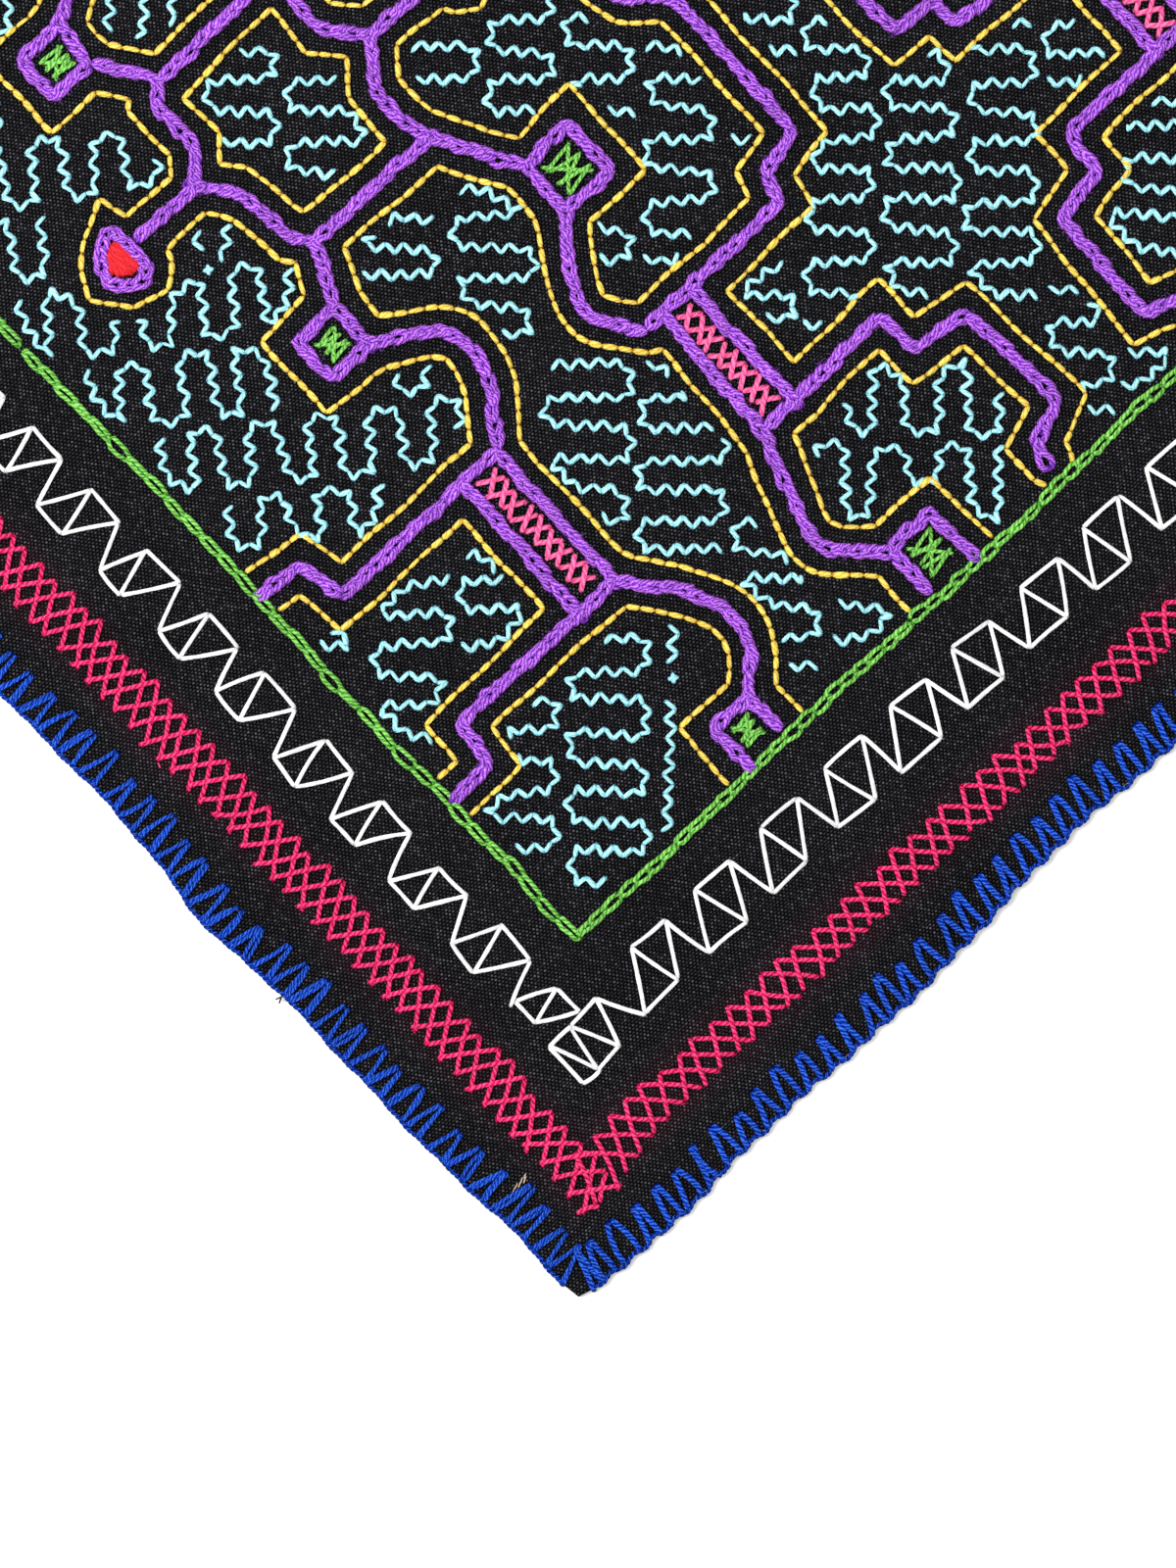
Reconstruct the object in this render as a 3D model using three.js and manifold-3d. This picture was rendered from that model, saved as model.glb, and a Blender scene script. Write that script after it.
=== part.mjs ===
// A square cloth of black plain weave, embroidered all over, lying flat.
// Millimetres, +Z up. X runs along the lower edge and Y along the left one.
// The origin is under the middle of the cloth, on the surface that it lies on.
import * as THREE from 'three';
import * as BufferGeometryUtils from 'three/addons/utils/BufferGeometryUtils.js';
import Module from 'manifold-3d';

const wasm = await Module();
wasm.setup();

// Driving sizes of the ground cloth.
const CLOTH_WIDTH = 379;
const CLOTH_HEIGHT = 392;
const CLOTH_THICKNESS = 1.2;
const CORNER_ROUNDING = 1.6;
const EDGE_STEPS = 24;
const RIPPLE_DEPTH = 38;

// Driving sizes of the thread work that stands on the cloth.
const THREAD_GAP = 0.3;
const CHAIN_WIDTH = 2.7;
const CHAIN_HEIGHT = 1.3;
const FRAME_HALF_WIDTH = 143.5;
const FRAME_HALF_HEIGHT = 146.6;
const FRAME_CHAIN_WIDTH = 2.1;
const FRAME_CHAIN_HEIGHT = 0.9;
const DROP_CHAIN_WIDTH = 2.1;
const DROP_HALF_WIDTH = 3.9;
const DROP_HALF_HEIGHT = 5.2;
const DROP_FILL_HEIGHT = 0.9;
const CROSS_BAND_INSET = 17;
const CROSS_BAND_WIDTH = 8.4;
const CROSS_BAND_HEIGHT = 0.6;
const EDGE_CORD_RADIUS = 0.75;
const EDGE_CORD_SIDES = 6;

const halfWidth = CLOTH_WIDTH / 2;
const halfHeight = CLOTH_HEIGHT / 2;
const threadBase = CLOTH_THICKNESS + THREAD_GAP;

// How the hand-cut edge wanders: along a side, out is how far it bulges at the place at, over about reach.
const edgeWaves = [
  { side: 'bottom', at: -165, out: 1.1, reach: 13 },
  { side: 'bottom', at: -108, out: 0.9, reach: 20 },
  { side: 'bottom', at: -64, out: -1.4, reach: 19 },
  { side: 'bottom', at: 40, out: 0.8, reach: 30 },
  { side: 'bottom', at: 120, out: -0.9, reach: 24 },
  { side: 'left', at: -182, out: -1.4, reach: 16 },
  { side: 'left', at: -99, out: 1.7, reach: 11 },
  { side: 'left', at: -68, out: -0.6, reach: 14 },
  { side: 'left', at: 35, out: 0.9, reach: 30 },
  { side: 'left', at: 130, out: -0.8, reach: 22 },
  { side: 'right', at: -120, out: 1.0, reach: 22 },
  { side: 'right', at: -20, out: -1.1, reach: 28 },
  { side: 'right', at: 95, out: 1.7, reach: 18 },
  { side: 'top', at: -130, out: -1.0, reach: 18 },
  { side: 'top', at: -30, out: 1.2, reach: 26 },
  { side: 'top', at: 105, out: 0.8, reach: 16 },
];

// Where the border stands a little off the surface, as stitched cloth does.
const borderRipples = [
  { side: 'bottom', at: -78, lift: 0.5, reach: 22 },
  { side: 'bottom', at: 66, lift: 0.8, reach: 30 },
  { side: 'left', at: -96, lift: 0.5, reach: 18 },
  { side: 'left', at: 72, lift: 0.7, reach: 26 },
  { side: 'right', at: -58, lift: 0.8, reach: 28 },
  { side: 'right', at: 112, lift: 0.6, reach: 20 },
  { side: 'top', at: -88, lift: 0.7, reach: 24 },
  { side: 'top', at: 48, lift: 0.6, reach: 26 },
];

// The purple chain stitch in one quarter of the cloth, charted in mm from the cloth's middle:
// across is the distance to the left or right of it, up the distance above or below it.
// round is the radius of the turns. The other three quarters mirror this one.
const purpleChart = [
  { line: 'outer ladder, inner rail', round: 0, points: [[93, 71], [93.5, 104]] },
  { line: 'outer ladder, outer rail', round: 0, points: [[101.5, 71], [102.5, 104]] },
  { line: 'outer ladder, near arm', round: 1.5, points: [[93, 71], [132.5, 71.5], [134, 62.5], [142, 62]] },
  { line: 'outer ladder, far arm', round: 1.5, points: [[93.5, 104], [132, 103.5], [132.5, 112.5], [142, 113]] },
  { line: 'outer ladder, near arch', round: 9, points: [[93, 71], [84, 60], [84, 48], [97, 41]] },
  { line: 'outer near diamond', round: 1, closed: true, points: [[97, 41], [106, 41], [106, 32], [97, 32]] },
  { line: 'outer far arch', round: 9, points: [[93.5, 104], [82.5, 117], [82.5, 129], [90, 136]] },
  { line: 'outer far diamond', round: 1, points: [[90, 145], [90, 136], [98.5, 136], [98.5, 145]] },
  { line: 'inner ladder, inner rail', round: 0, points: [[54, 73], [55, 102]] },
  { line: 'inner ladder, outer rail', round: 0, points: [[46.5, 73], [47, 102]] },
  {
    line: 'inner ladder, near arm',
    round: 2,
    points: [[58.5, 73], [23.5, 73], [22.5, 66.5], [13.5, 66], [12, 32], [19, 27], [20.5, 22]],
  },
  {
    line: 'inner ladder, far arm',
    round: 2,
    points: [[54.5, 102], [24.5, 101.5], [24, 110.5], [12.5, 111.5], [11.5, 135], [21, 138], [21, 142]],
  },
  { line: 'inner ladder, near arch', round: 7, points: [[58.5, 73], [65, 64], [62.5, 57.5], [53.5, 47.5]] },
  { line: 'inner near diamond', round: 1, closed: true, points: [[53.5, 47.5], [42.5, 47.5], [42.5, 36], [53.5, 36]] },
  { line: 'inner far arch', round: 7, points: [[54.5, 102], [59.5, 115], [62, 126], [53, 134]] },
  { line: 'inner far diamond', round: 1, points: [[52.5, 145], [52.5, 134], [42.5, 134], [42, 145]] },
  { line: 'outer stem', round: 3, points: [[97, 32], [91, 20.5], [94.5, 17.5], [94.5, 6], [100.5, 0]] },
  { line: 'inner stem', round: 3, points: [[53.5, 36], [62.5, 20.5], [64, 17], [64, 7], [58.5, 0]] },
  { line: 'cross line', round: 0, points: [[91, 20.5], [62.5, 20.5]] },
];

// The four drops on the cross axis, each at the end of a short stalk.
const drops = [
  { name: 'outer_drop', at: 119, stalkFrom: 100.5, stalkTo: 113.2, stalkSide: 1 },
  { name: 'inner_drop', at: 37.5, stalkFrom: 58.5, stalkTo: 43.3, stalkSide: -1 },
];

// Where the lines, drawn by eye, drift off the chart: dx and dy at the place x, y, over about reach.
const handDrift = [
  { x: -52, y: -55, dx: 0.2, dy: -1.2, reach: 42 },
  { x: 32, y: -95, dx: -1.6, dy: 1.2, reach: 30 },
  { x: -100, y: 3, dx: 0, dy: 2.2, reach: 14 },
  { x: -119, y: 2, dx: -1.6, dy: 1.5, reach: 12 },
  { x: -102, y: 37, dx: -1.8, dy: -1.2, reach: 14 },
];

function bump(value, row) {
  return Math.exp(-(((value - row.at) / row.reach) ** 2));
}

function sideOut(side, place) {
  return edgeWaves.filter((row) => row.side === side).reduce((sum, row) => sum + row.out * bump(place, row), 0);
}

function sideLift(side, place) {
  return borderRipples.filter((row) => row.side === side).reduce((sum, row) => sum + row.lift * bump(place, row), 0);
}

// A point of the pattern, moved by the drift of the hand.
function drifted(point) {
  const moved = point.clone();
  for (const { x, y, dx, dy, reach } of handDrift) {
    const share = Math.exp(-(((point.x - x) / reach) ** 2) - ((point.y - y) / reach) ** 2);
    moved.x += dx * share;
    moved.y += dy * share;
  }
  return moved;
}

// The points of the cut edge, anticlockwise, each with its side and its place along the side.
function edgePoints() {
  const sides = [
    { side: 'bottom', half: halfWidth, point: (p, out) => [p, -halfHeight - out], turn: 1 },
    { side: 'right', half: halfHeight, point: (p, out) => [halfWidth + out, p], turn: 1 },
    { side: 'top', half: halfWidth, point: (p, out) => [p, halfHeight + out], turn: -1 },
    { side: 'left', half: halfHeight, point: (p, out) => [-halfWidth - out, p], turn: -1 },
  ];
  const points = [];
  for (const { side, half, point, turn } of sides) {
    for (let i = 0; i < EDGE_STEPS; i++) {
      const place = turn * half * (2 * i / EDGE_STEPS - 1);
      const corner = i === 0;
      const [x, y] = point(place, corner ? -CORNER_ROUNDING / 2 : sideOut(side, place));
      const along = corner ? (half - CORNER_ROUNDING / 2) / half : 1;
      const isLevel = side === 'bottom' || side === 'top';
      points.push({
        x: isLevel ? x * along : x,
        y: isLevel ? y : y * along,
        lift: corner ? 0 : sideLift(side, place),
      });
    }
  }
  return points;
}

// A closed body from rings of points with the same count: quads between the rings, and a fan at each end.
function bodyFromRings(rings, firstCentre, lastCentre) {
  const count = rings[0].length;
  const positions = rings.flat(2);
  const faces = [];
  for (let r = 0; r + 1 < rings.length; r++) {
    for (let i = 0; i < count; i++) {
      const j = (i + 1) % count;
      const a = r * count + i;
      const b = r * count + j;
      const c = (r + 1) * count + j;
      const d = (r + 1) * count + i;
      faces.push(a, b, c, a, c, d);
    }
  }
  const first = rings.length * count;
  const last = first + 1;
  positions.push(...firstCentre, ...lastCentre);
  for (let i = 0; i < count; i++) {
    const j = (i + 1) % count;
    faces.push(first, j, i);
    faces.push(last, (rings.length - 1) * count + i, (rings.length - 1) * count + j);
  }
  const geometry = new THREE.BufferGeometry();
  geometry.setAttribute('position', new THREE.Float32BufferAttribute(positions, 3));
  geometry.setIndex(faces);
  geometry.computeVertexNormals();
  return geometry;
}

// How much of the edge's lift is left at an inset: the cloth is level inside the border.
const liftFade = [
  { inset: 0, share: 1 },
  { inset: RIPPLE_DEPTH / 3, share: 0.44 },
  { inset: RIPPLE_DEPTH, share: 0 },
];

function liftShare(inset) {
  const next = liftFade.findIndex((row) => row.inset > inset);
  if (next < 0) return 0;
  const [outer, inner] = [liftFade[next - 1], liftFade[next]];
  return THREE.MathUtils.mapLinear(inset, outer.inset, inner.inset, outer.share, inner.share);
}

// An edge point moved in towards the middle of the cloth, and up from the cloth's under face.
function borderPoint({ x, y, lift }, inset, up) {
  const sx = (halfWidth - inset) / halfWidth;
  const sy = (halfHeight - inset) / halfHeight;
  return [x * sx, y * sy, lift * liftShare(inset) + up];
}

// The cloth: under face from the middle out, round the edge, and upper face back to the middle.
function clothGeometry() {
  const edge = edgePoints();
  const insets = liftFade.map((row) => row.inset);
  const rings = [
    ...insets.toReversed().map((inset) => edge.map((point) => borderPoint(point, inset, 0))),
    ...insets.map((inset) => edge.map((point) => borderPoint(point, inset, CLOTH_THICKNESS))),
  ];
  return bodyFromRings(rings, [0, 0, 0], [0, 0, CLOTH_THICKNESS]);
}

// The band of crossed stitches along the border, as one low ridge on the cloth.
function crossBandGeometry() {
  const half = CROSS_BAND_WIDTH / 2;
  const section = [[-half, 0], [half, 0], [half * 0.8, CROSS_BAND_HEIGHT], [-half * 0.8, CROSS_BAND_HEIGHT]];
  return ringTube(edgePoints().map((point) => section.map(([inward, up]) => (
    borderPoint(point, CROSS_BAND_INSET + inward, threadBase + up)
  ))));
}

// A chart line with its turns made round.
function roundedLine(points, radius, closed = false) {
  if (radius === 0) return points.map(([x, y]) => new THREE.Vector2(x, y));
  const line = [];
  const count = points.length;
  for (let i = 0; i < count; i++) {
    const here = new THREE.Vector2(...points[i]);
    if (!closed && (i === 0 || i === count - 1)) {
      line.push(here);
      continue;
    }
    const before = new THREE.Vector2(...points[(i + count - 1) % count]);
    const after = new THREE.Vector2(...points[(i + 1) % count]);
    const reach = Math.min(radius, here.distanceTo(before) * 0.48, here.distanceTo(after) * 0.48);
    const start = here.clone().add(before.sub(here).setLength(reach));
    const end = here.clone().add(after.sub(here).setLength(reach));
    const steps = reach > 4 ? 3 : 1;
    line.push(...new THREE.QuadraticBezierCurve(start, here, end).getPoints(steps));
  }
  return line;
}

// A low ridge that follows a line on the cloth.
function ridgeGeometry(line, width, height, base, closed = false) {
  const half = width / 2;
  const section = [[-half, 0], [half, 0], [half * 0.55, height], [-half * 0.55, height]];
  const count = line.length;
  const rings = line.map((here, i) => {
    const before = closed ? line[(i + count - 1) % count] : line[Math.max(i - 1, 0)];
    const after = closed ? line[(i + 1) % count] : line[Math.min(i + 1, count - 1)];
    const into = here.clone().sub(before);
    const out = after.clone().sub(here);
    if (into.length() === 0) into.copy(out);
    if (out.length() === 0) out.copy(into);
    into.normalize();
    out.normalize();
    const mean = into.clone().add(out).normalize();
    const mitre = 1 / Math.max(mean.dot(into), 0.5);
    return section.map(([across, up]) => [here.x - mean.y * across * mitre, here.y + mean.x * across * mitre, base + up]);
  });
  if (closed) return ringTube(rings);
  const middle = (ring, flat) => [line[flat].x, line[flat].y, base + height * 0.4];
  return bodyFromRings(rings, middle(rings[0], 0), middle(rings.at(-1), count - 1));
}

// A closed tube whose last ring joins its first.
function ringTube(rings) {
  const count = rings[0].length;
  const total = rings.length;
  const faces = [];
  for (let r = 0; r < total; r++) {
    const s = (r + 1) % total;
    for (let i = 0; i < count; i++) {
      const j = (i + 1) % count;
      faces.push(r * count + i, r * count + j, s * count + j, r * count + i, s * count + j, s * count + i);
    }
  }
  const geometry = new THREE.BufferGeometry();
  geometry.setAttribute('position', new THREE.Float32BufferAttribute(rings.flat(2), 3));
  geometry.setIndex(faces);
  geometry.computeVertexNormals();
  return geometry;
}

function solid(geometry) {
  const bare = geometry.clone();
  bare.deleteAttribute('normal');
  bare.deleteAttribute('uv');
  const merged = BufferGeometryUtils.mergeVertices(bare, 1e-4);
  return new wasm.Manifold(new wasm.Mesh({
    numProp: 3,
    vertProperties: new Float32Array(merged.attributes.position.array),
    triVerts: new Uint32Array(merged.index.array),
  }));
}

function geometryOf(body) {
  const mesh = body.getMesh();
  const geometry = new THREE.BufferGeometry();
  geometry.setAttribute('position', new THREE.Float32BufferAttribute(mesh.vertProperties, 3));
  geometry.setIndex(Array.from(mesh.triVerts));
  geometry.computeVertexNormals();
  return geometry;
}

function joined(geometries) {
  return geometryOf(geometries.map(solid).reduce((sum, body) => sum.add(body)));
}

// A chart line in one quarter of the cloth, still running the same way round.
function mirrored(line, side, end) {
  const placed = line.map((p) => drifted(new THREE.Vector2(p.x * side, p.y * end)));
  return side * end < 0 ? placed.reverse() : placed;
}

// The outline of a drop: a straight side towards its stalk, a round foot, and a point at the top.
function dropOutline(scale) {
  const outline = new THREE.CatmullRomCurve3([
    [-1, -0.27], [-0.45, -0.88], [0.45, -1], [0.96, -0.71], [0.99, -0.04], [0.96, 0.59], [0.77, 1], [-0.09, 0.71],
    [-0.64, 0.18],
  ].map(([x, y]) => new THREE.Vector3(x * DROP_HALF_WIDTH * scale, y * DROP_HALF_HEIGHT * scale, 0)), true);
  return outline.getPoints(14).slice(0, 14).map((p) => new THREE.Vector2(p.x, p.y));
}

// The purple network of one side of the cloth: side is -1 on the left and 1 on the right.
function purpleGeometry(side) {
  const ridges = [];
  for (const { round, closed, points } of purpleChart) {
    const line = roundedLine(points, round, closed);
    for (const end of [-1, 1]) {
      ridges.push(ridgeGeometry(mirrored(line, side, end), CHAIN_WIDTH, CHAIN_HEIGHT, threadBase, closed));
    }
  }
  for (const { stalkFrom, stalkTo } of drops) {
    const stalk = [drifted(new THREE.Vector2(side * stalkFrom, 0)), drifted(new THREE.Vector2(side * stalkTo, 0))];
    ridges.push(ridgeGeometry(stalk, CHAIN_WIDTH * 0.8, CHAIN_HEIGHT, threadBase));
  }
  return joined(ridges);
}

// A drop's outline at its place: turn is 1 where the stalk is on its right, and -1 where it is on its left.
function placedDrop(x, turn, scale) {
  const line = dropOutline(scale).map((p) => drifted(new THREE.Vector2(x + p.x * turn, p.y)));
  return turn < 0 ? line.reverse() : line;
}

function dropFillGeometry(x, turn) {
  const shape = new THREE.Shape(placedDrop(x, turn, 0.5));
  const geometry = new THREE.ExtrudeGeometry(shape, { depth: DROP_FILL_HEIGHT, bevelEnabled: false, curveSegments: 1 });
  geometry.translate(0, 0, threadBase);
  return geometry;
}

function frameGeometry() {
  const corners = [[-1, -1], [1, -1], [1, 1], [-1, 1]];
  const line = corners.map(([x, y]) => new THREE.Vector2(x * FRAME_HALF_WIDTH, y * FRAME_HALF_HEIGHT));
  return ridgeGeometry(line, FRAME_CHAIN_WIDTH, FRAME_CHAIN_HEIGHT, threadBase, true);
}

// The cord of edge stitches: it lies along the cut edge, half-way up the cloth's thickness.
function edgeCordGeometry() {
  const edge = edgePoints();
  const count = edge.length;
  const offset = EDGE_CORD_RADIUS + THREAD_GAP;
  const rings = edge.map((here, i) => {
    const before = edge[(i + count - 1) % count];
    const after = edge[(i + 1) % count];
    const along = new THREE.Vector2(after.x - before.x, after.y - before.y).normalize();
    const outward = new THREE.Vector2(along.y, -along.x);
    const centre = new THREE.Vector2(here.x, here.y).addScaledVector(outward, offset * (i % EDGE_STEPS === 0 ? 1.5 : 1));
    const height = here.lift + EDGE_CORD_RADIUS + THREAD_GAP / 2;
    return Array.from({ length: EDGE_CORD_SIDES }, (_, k) => {
      const angle = -2 * Math.PI * k / EDGE_CORD_SIDES;
      const out = EDGE_CORD_RADIUS * Math.cos(angle);
      return [
        centre.x + outward.x * out,
        centre.y + outward.y * out,
        height + EDGE_CORD_RADIUS * Math.sin(angle),
      ];
    });
  });
  return ringTube(rings);
}

const group = new THREE.Group();

function addPiece(name, geometry, color, roughness) {
  const mesh = new THREE.Mesh(geometry, new THREE.MeshStandardMaterial({ color, roughness, metalness: 0 }));
  mesh.name = name;
  group.add(mesh);
}

addPiece('ground_cloth', clothGeometry(), 0x1b1b1e, 0.95);
addPiece('purple_chain_left', purpleGeometry(-1), 0xa057da, 0.8);
addPiece('purple_chain_right', purpleGeometry(1), 0xa057da, 0.8);
addPiece('green_chain_frame', frameGeometry(), 0x6fbb4e, 0.8);
addPiece('crimson_cross_band', crossBandGeometry(), 0xe82d68, 0.8);
addPiece('blue_edge_cord', edgeCordGeometry(), 0x234abd, 0.8);
for (const { at, name, stalkSide } of drops) {
  for (const [side, hand] of [[-1, 'left'], [1, 'right']]) {
    const turn = -side * stalkSide;
    const outline = placedDrop(at * side, turn, 1);
    addPiece(`${name}_${hand}`, ridgeGeometry(outline, DROP_CHAIN_WIDTH, CHAIN_HEIGHT, threadBase, true), 0xa057da, 0.8);
    addPiece(`${name}_fill_${hand}`, dropFillGeometry(at * side, turn), 0xf02828, 0.8);
  }
}

export default group;
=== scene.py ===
import math
from collections import namedtuple

import bpy
import numpy as np
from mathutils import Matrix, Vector, geometry, kdtree


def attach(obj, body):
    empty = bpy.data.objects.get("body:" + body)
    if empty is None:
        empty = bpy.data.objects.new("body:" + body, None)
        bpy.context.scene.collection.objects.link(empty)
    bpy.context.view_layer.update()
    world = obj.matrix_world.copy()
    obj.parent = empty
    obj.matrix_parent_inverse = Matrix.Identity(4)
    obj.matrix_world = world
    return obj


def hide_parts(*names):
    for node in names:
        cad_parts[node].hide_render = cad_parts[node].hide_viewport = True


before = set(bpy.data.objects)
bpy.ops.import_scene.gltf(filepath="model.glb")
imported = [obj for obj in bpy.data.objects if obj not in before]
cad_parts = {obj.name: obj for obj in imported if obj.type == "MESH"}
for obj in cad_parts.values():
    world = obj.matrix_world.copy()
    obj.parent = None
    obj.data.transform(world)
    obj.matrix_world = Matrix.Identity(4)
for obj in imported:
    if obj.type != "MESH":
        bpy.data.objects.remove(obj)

bpy.ops.object.select_all(action="DESELECT")
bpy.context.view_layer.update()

# Viewpoint, floor and light
# The view is straight down on one corner of the cloth, which points to the bottom of the picture.
# The cloth lies on a plain white table under a large soft lamp, in a white room.
MM = 0.001
mm_per_pixel = 0.18
picture_height = 1600
view_centre = (-122.5, -127.7)
view_turn = math.radians(43.1)
camera_height = 1.6

camera_data = bpy.data.cameras.new("view_from_above")
camera_data.sensor_width = 36
camera_data.lens = camera_data.sensor_width * camera_height / (picture_height * mm_per_pixel * MM)
camera = bpy.data.objects.new("view_from_above", camera_data)
camera.location = (view_centre[0] * MM, view_centre[1] * MM, camera_height)
camera.rotation_euler = (0, 0, -view_turn)
bpy.context.scene.collection.objects.link(camera)
bpy.context.scene.camera = camera
bpy.context.scene.view_settings.view_transform = "Standard"


def linear_colour(code):
    """The linear colour of an sRGB hex code such as 1b1b1e."""
    parts = [int(code[i:i + 2], 16) / 255 for i in (0, 2, 4)]
    return tuple(p / 12.92 if p <= 0.04045 else ((p + 0.055) / 1.055) ** 2.4 for p in parts) + (1.0,)


def add_node(tree, kind, sockets=None, **settings):
    """Adds a node. sockets maps its inputs to values or to other nodes' outputs."""
    node = tree.nodes.new(kind)
    for name, value in settings.items():
        setattr(node, name, value)
    for socket, value in (sockets or {}).items():
        if isinstance(value, bpy.types.NodeSocket):
            tree.links.new(value, node.inputs[socket])
        else:
            node.inputs[socket].default_value = value
    return node


bpy.ops.mesh.primitive_plane_add(size=6, location=(0, 0, -0.1 * MM))
table_top = bpy.context.object
table_top.name = "table_top"
# Matt white paint: an even white without shine, which shows up the edge of the cloth.
table_paint = bpy.data.materials.new("matt_white_paint")
table_paint.use_nodes = True
table_shader = table_paint.node_tree.nodes["Principled BSDF"]
table_shader.inputs["Base Color"].default_value = linear_colour("fdfdfd")
table_shader.inputs["Roughness"].default_value = 0.9
table_shader.inputs["Specular IOR Level"].default_value = 0.1
table_top.data.materials.append(table_paint)

room = bpy.data.worlds.new("white_room")
room.use_nodes = True
room.node_tree.nodes["Background"].inputs["Color"].default_value = (1, 1, 1, 1)
room.node_tree.nodes["Background"].inputs["Strength"].default_value = 1.0
bpy.context.scene.world = room

lamp_data = bpy.data.lights.new("soft_lamp", "AREA")
lamp_data.shape = "DISK"
lamp_data.size = 1.2
lamp_data.energy = 28
lamp = bpy.data.objects.new("soft_lamp", lamp_data)
lamp.location = (-0.62, 0.62, 1.35)
lamp.rotation_euler = (math.radians(28), math.radians(-22), 0)
bpy.context.scene.collection.objects.link(lamp)

# Ground cloth
# One rectangle of black cotton in plain weave, cut by hand, so that its edges wander a little.
# It is thin and limp, and lies flat, with the border standing off the table here and there.
Wave = namedtuple("Wave", "side at out reach")
Ripple = namedtuple("Ripple", "side at lift reach")
cloth_width = 379
cloth_height = 392
cloth_face = 1.15
cloth_thickness = 1.1
ripple_depth = 38
grid_spacing = 4

edge_waves = [
    Wave("bottom", -165, 1.1, 13),
    Wave("bottom", -108, 0.9, 20),
    Wave("bottom", -64, -1.4, 19),
    Wave("bottom", 40, 0.8, 30),
    Wave("bottom", 120, -0.9, 24),
    Wave("left", -182, -1.4, 16),
    Wave("left", -99, 1.7, 11),
    Wave("left", -68, -0.6, 14),
    Wave("left", 35, 0.9, 30),
    Wave("left", 130, -0.8, 22),
    Wave("right", -120, 1.0, 22),
    Wave("right", -20, -1.1, 28),
    Wave("right", 95, 1.7, 18),
    Wave("top", -130, -1.0, 18),
    Wave("top", -30, 1.2, 26),
    Wave("top", 105, 0.8, 16),
]
border_ripples = [
    Ripple("bottom", -78, 0.5, 22),
    Ripple("bottom", 66, 0.8, 30),
    Ripple("left", -96, 0.5, 18),
    Ripple("left", 72, 0.7, 26),
    Ripple("right", -58, 0.8, 28),
    Ripple("right", 112, 0.6, 20),
    Ripple("top", -88, 0.7, 24),
    Ripple("top", 48, 0.6, 26),
]


def along_side(rows, side, place, column):
    """The sum of a side's rows at a place along it: each row is a soft bump."""
    total = np.zeros_like(place, dtype=float)
    for row in rows:
        if row.side == side:
            total += getattr(row, column) * np.exp(-(((place - row.at) / row.reach) ** 2))
    return total


def half_width(x, y):
    """How far the cut edge lies from the middle, at the left or right of each point."""
    left = along_side(edge_waves, "left", y, "out")
    right = along_side(edge_waves, "right", y, "out")
    return cloth_width / 2 + np.where(x < 0, left, right)


def half_height(x, y):
    """How far the cut edge lies from the middle, below or above each point."""
    below = along_side(edge_waves, "bottom", x, "out")
    above = along_side(edge_waves, "top", x, "out")
    return cloth_height / 2 + np.where(y < 0, below, above)


def cloth_top(x, y):
    """The height of the cloth's upper face above the table, in mm."""
    near_side = np.clip(1 - (cloth_width / 2 - np.abs(x)) / ripple_depth, 0, 1) ** 2
    near_end = np.clip(1 - (cloth_height / 2 - np.abs(y)) / ripple_depth, 0, 1) ** 2
    left = along_side(border_ripples, "left", y, "lift")
    right = along_side(border_ripples, "right", y, "lift")
    below = along_side(border_ripples, "bottom", x, "lift")
    above = along_side(border_ripples, "top", x, "lift")
    lift = near_side * np.where(x < 0, left, right) + near_end * np.where(y < 0, below, above)
    pucker = 0.07 * np.sin(0.23 * x + 0.11 * y) + 0.06 * np.sin(0.29 * y - 0.17 * x + 1.0)
    return cloth_face + lift + pucker


columns = round(cloth_width / grid_spacing)
rows_of_grid = round(cloth_height / grid_spacing)
bpy.ops.mesh.primitive_grid_add(x_subdivisions=columns, y_subdivisions=rows_of_grid, size=2)
cloth = bpy.context.object
cloth.name = "ground_cloth_weave"
grid = np.array([vertex.co[:] for vertex in cloth.data.vertices])
grid_x = grid[:, 0] * cloth_width / 2
grid_y = grid[:, 1] * cloth_height / 2
corner_pull = 1 - 0.004 * (np.abs(grid[:, 0]) > 0.999) * (np.abs(grid[:, 1]) > 0.999)
placed_x = grid[:, 0] * half_width(grid_x, grid_y) * corner_pull
placed_y = grid[:, 1] * half_height(grid_x, grid_y) * corner_pull
placed = np.stack([placed_x, placed_y, cloth_top(placed_x, placed_y)], axis=1) * MM
cloth.data.vertices.foreach_set("co", placed.ravel())
cloth.data.update()
thickness = cloth.modifiers.new("thickness", "SOLIDIFY")
thickness.thickness = cloth_thickness * MM
thickness.offset = -1
bpy.ops.object.modifier_apply(modifier=thickness.name)
bpy.ops.object.shade_smooth_by_angle(angle=math.radians(40))

# Black cotton, plain weave, piece dyed: matt, with a painted speckle of highlights where the crossings catch
# the light, painted shade in the pits between the threads, and a little red dye from the crimson thread
# beside that band. The weft is rounder, so it is painted lighter than the tight warp, as though it catches
# more light.
warp_spacing = 0.41
weft_spacing = 0.54
warp_light = 0.3
dyed_half_width = 172.5
dyed_half_height = 178.6
weave = bpy.data.materials.new("black_cotton_plain_weave")
weave.use_nodes = True
tree = weave.node_tree
place = add_node(tree, "ShaderNodeTexCoord").outputs["Object"]
wander = add_node(tree, "ShaderNodeTexNoise", {"Vector": place, "Scale": 90, "Detail": 1})
shift = {0: wander.outputs["Color"], 1: (0.0003,) * 3, 2: place}
wandered = add_node(tree, "ShaderNodeVectorMath", shift, operation="MULTIPLY_ADD")
split = add_node(tree, "ShaderNodeSeparateXYZ", {0: wandered.outputs[0]}).outputs
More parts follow.
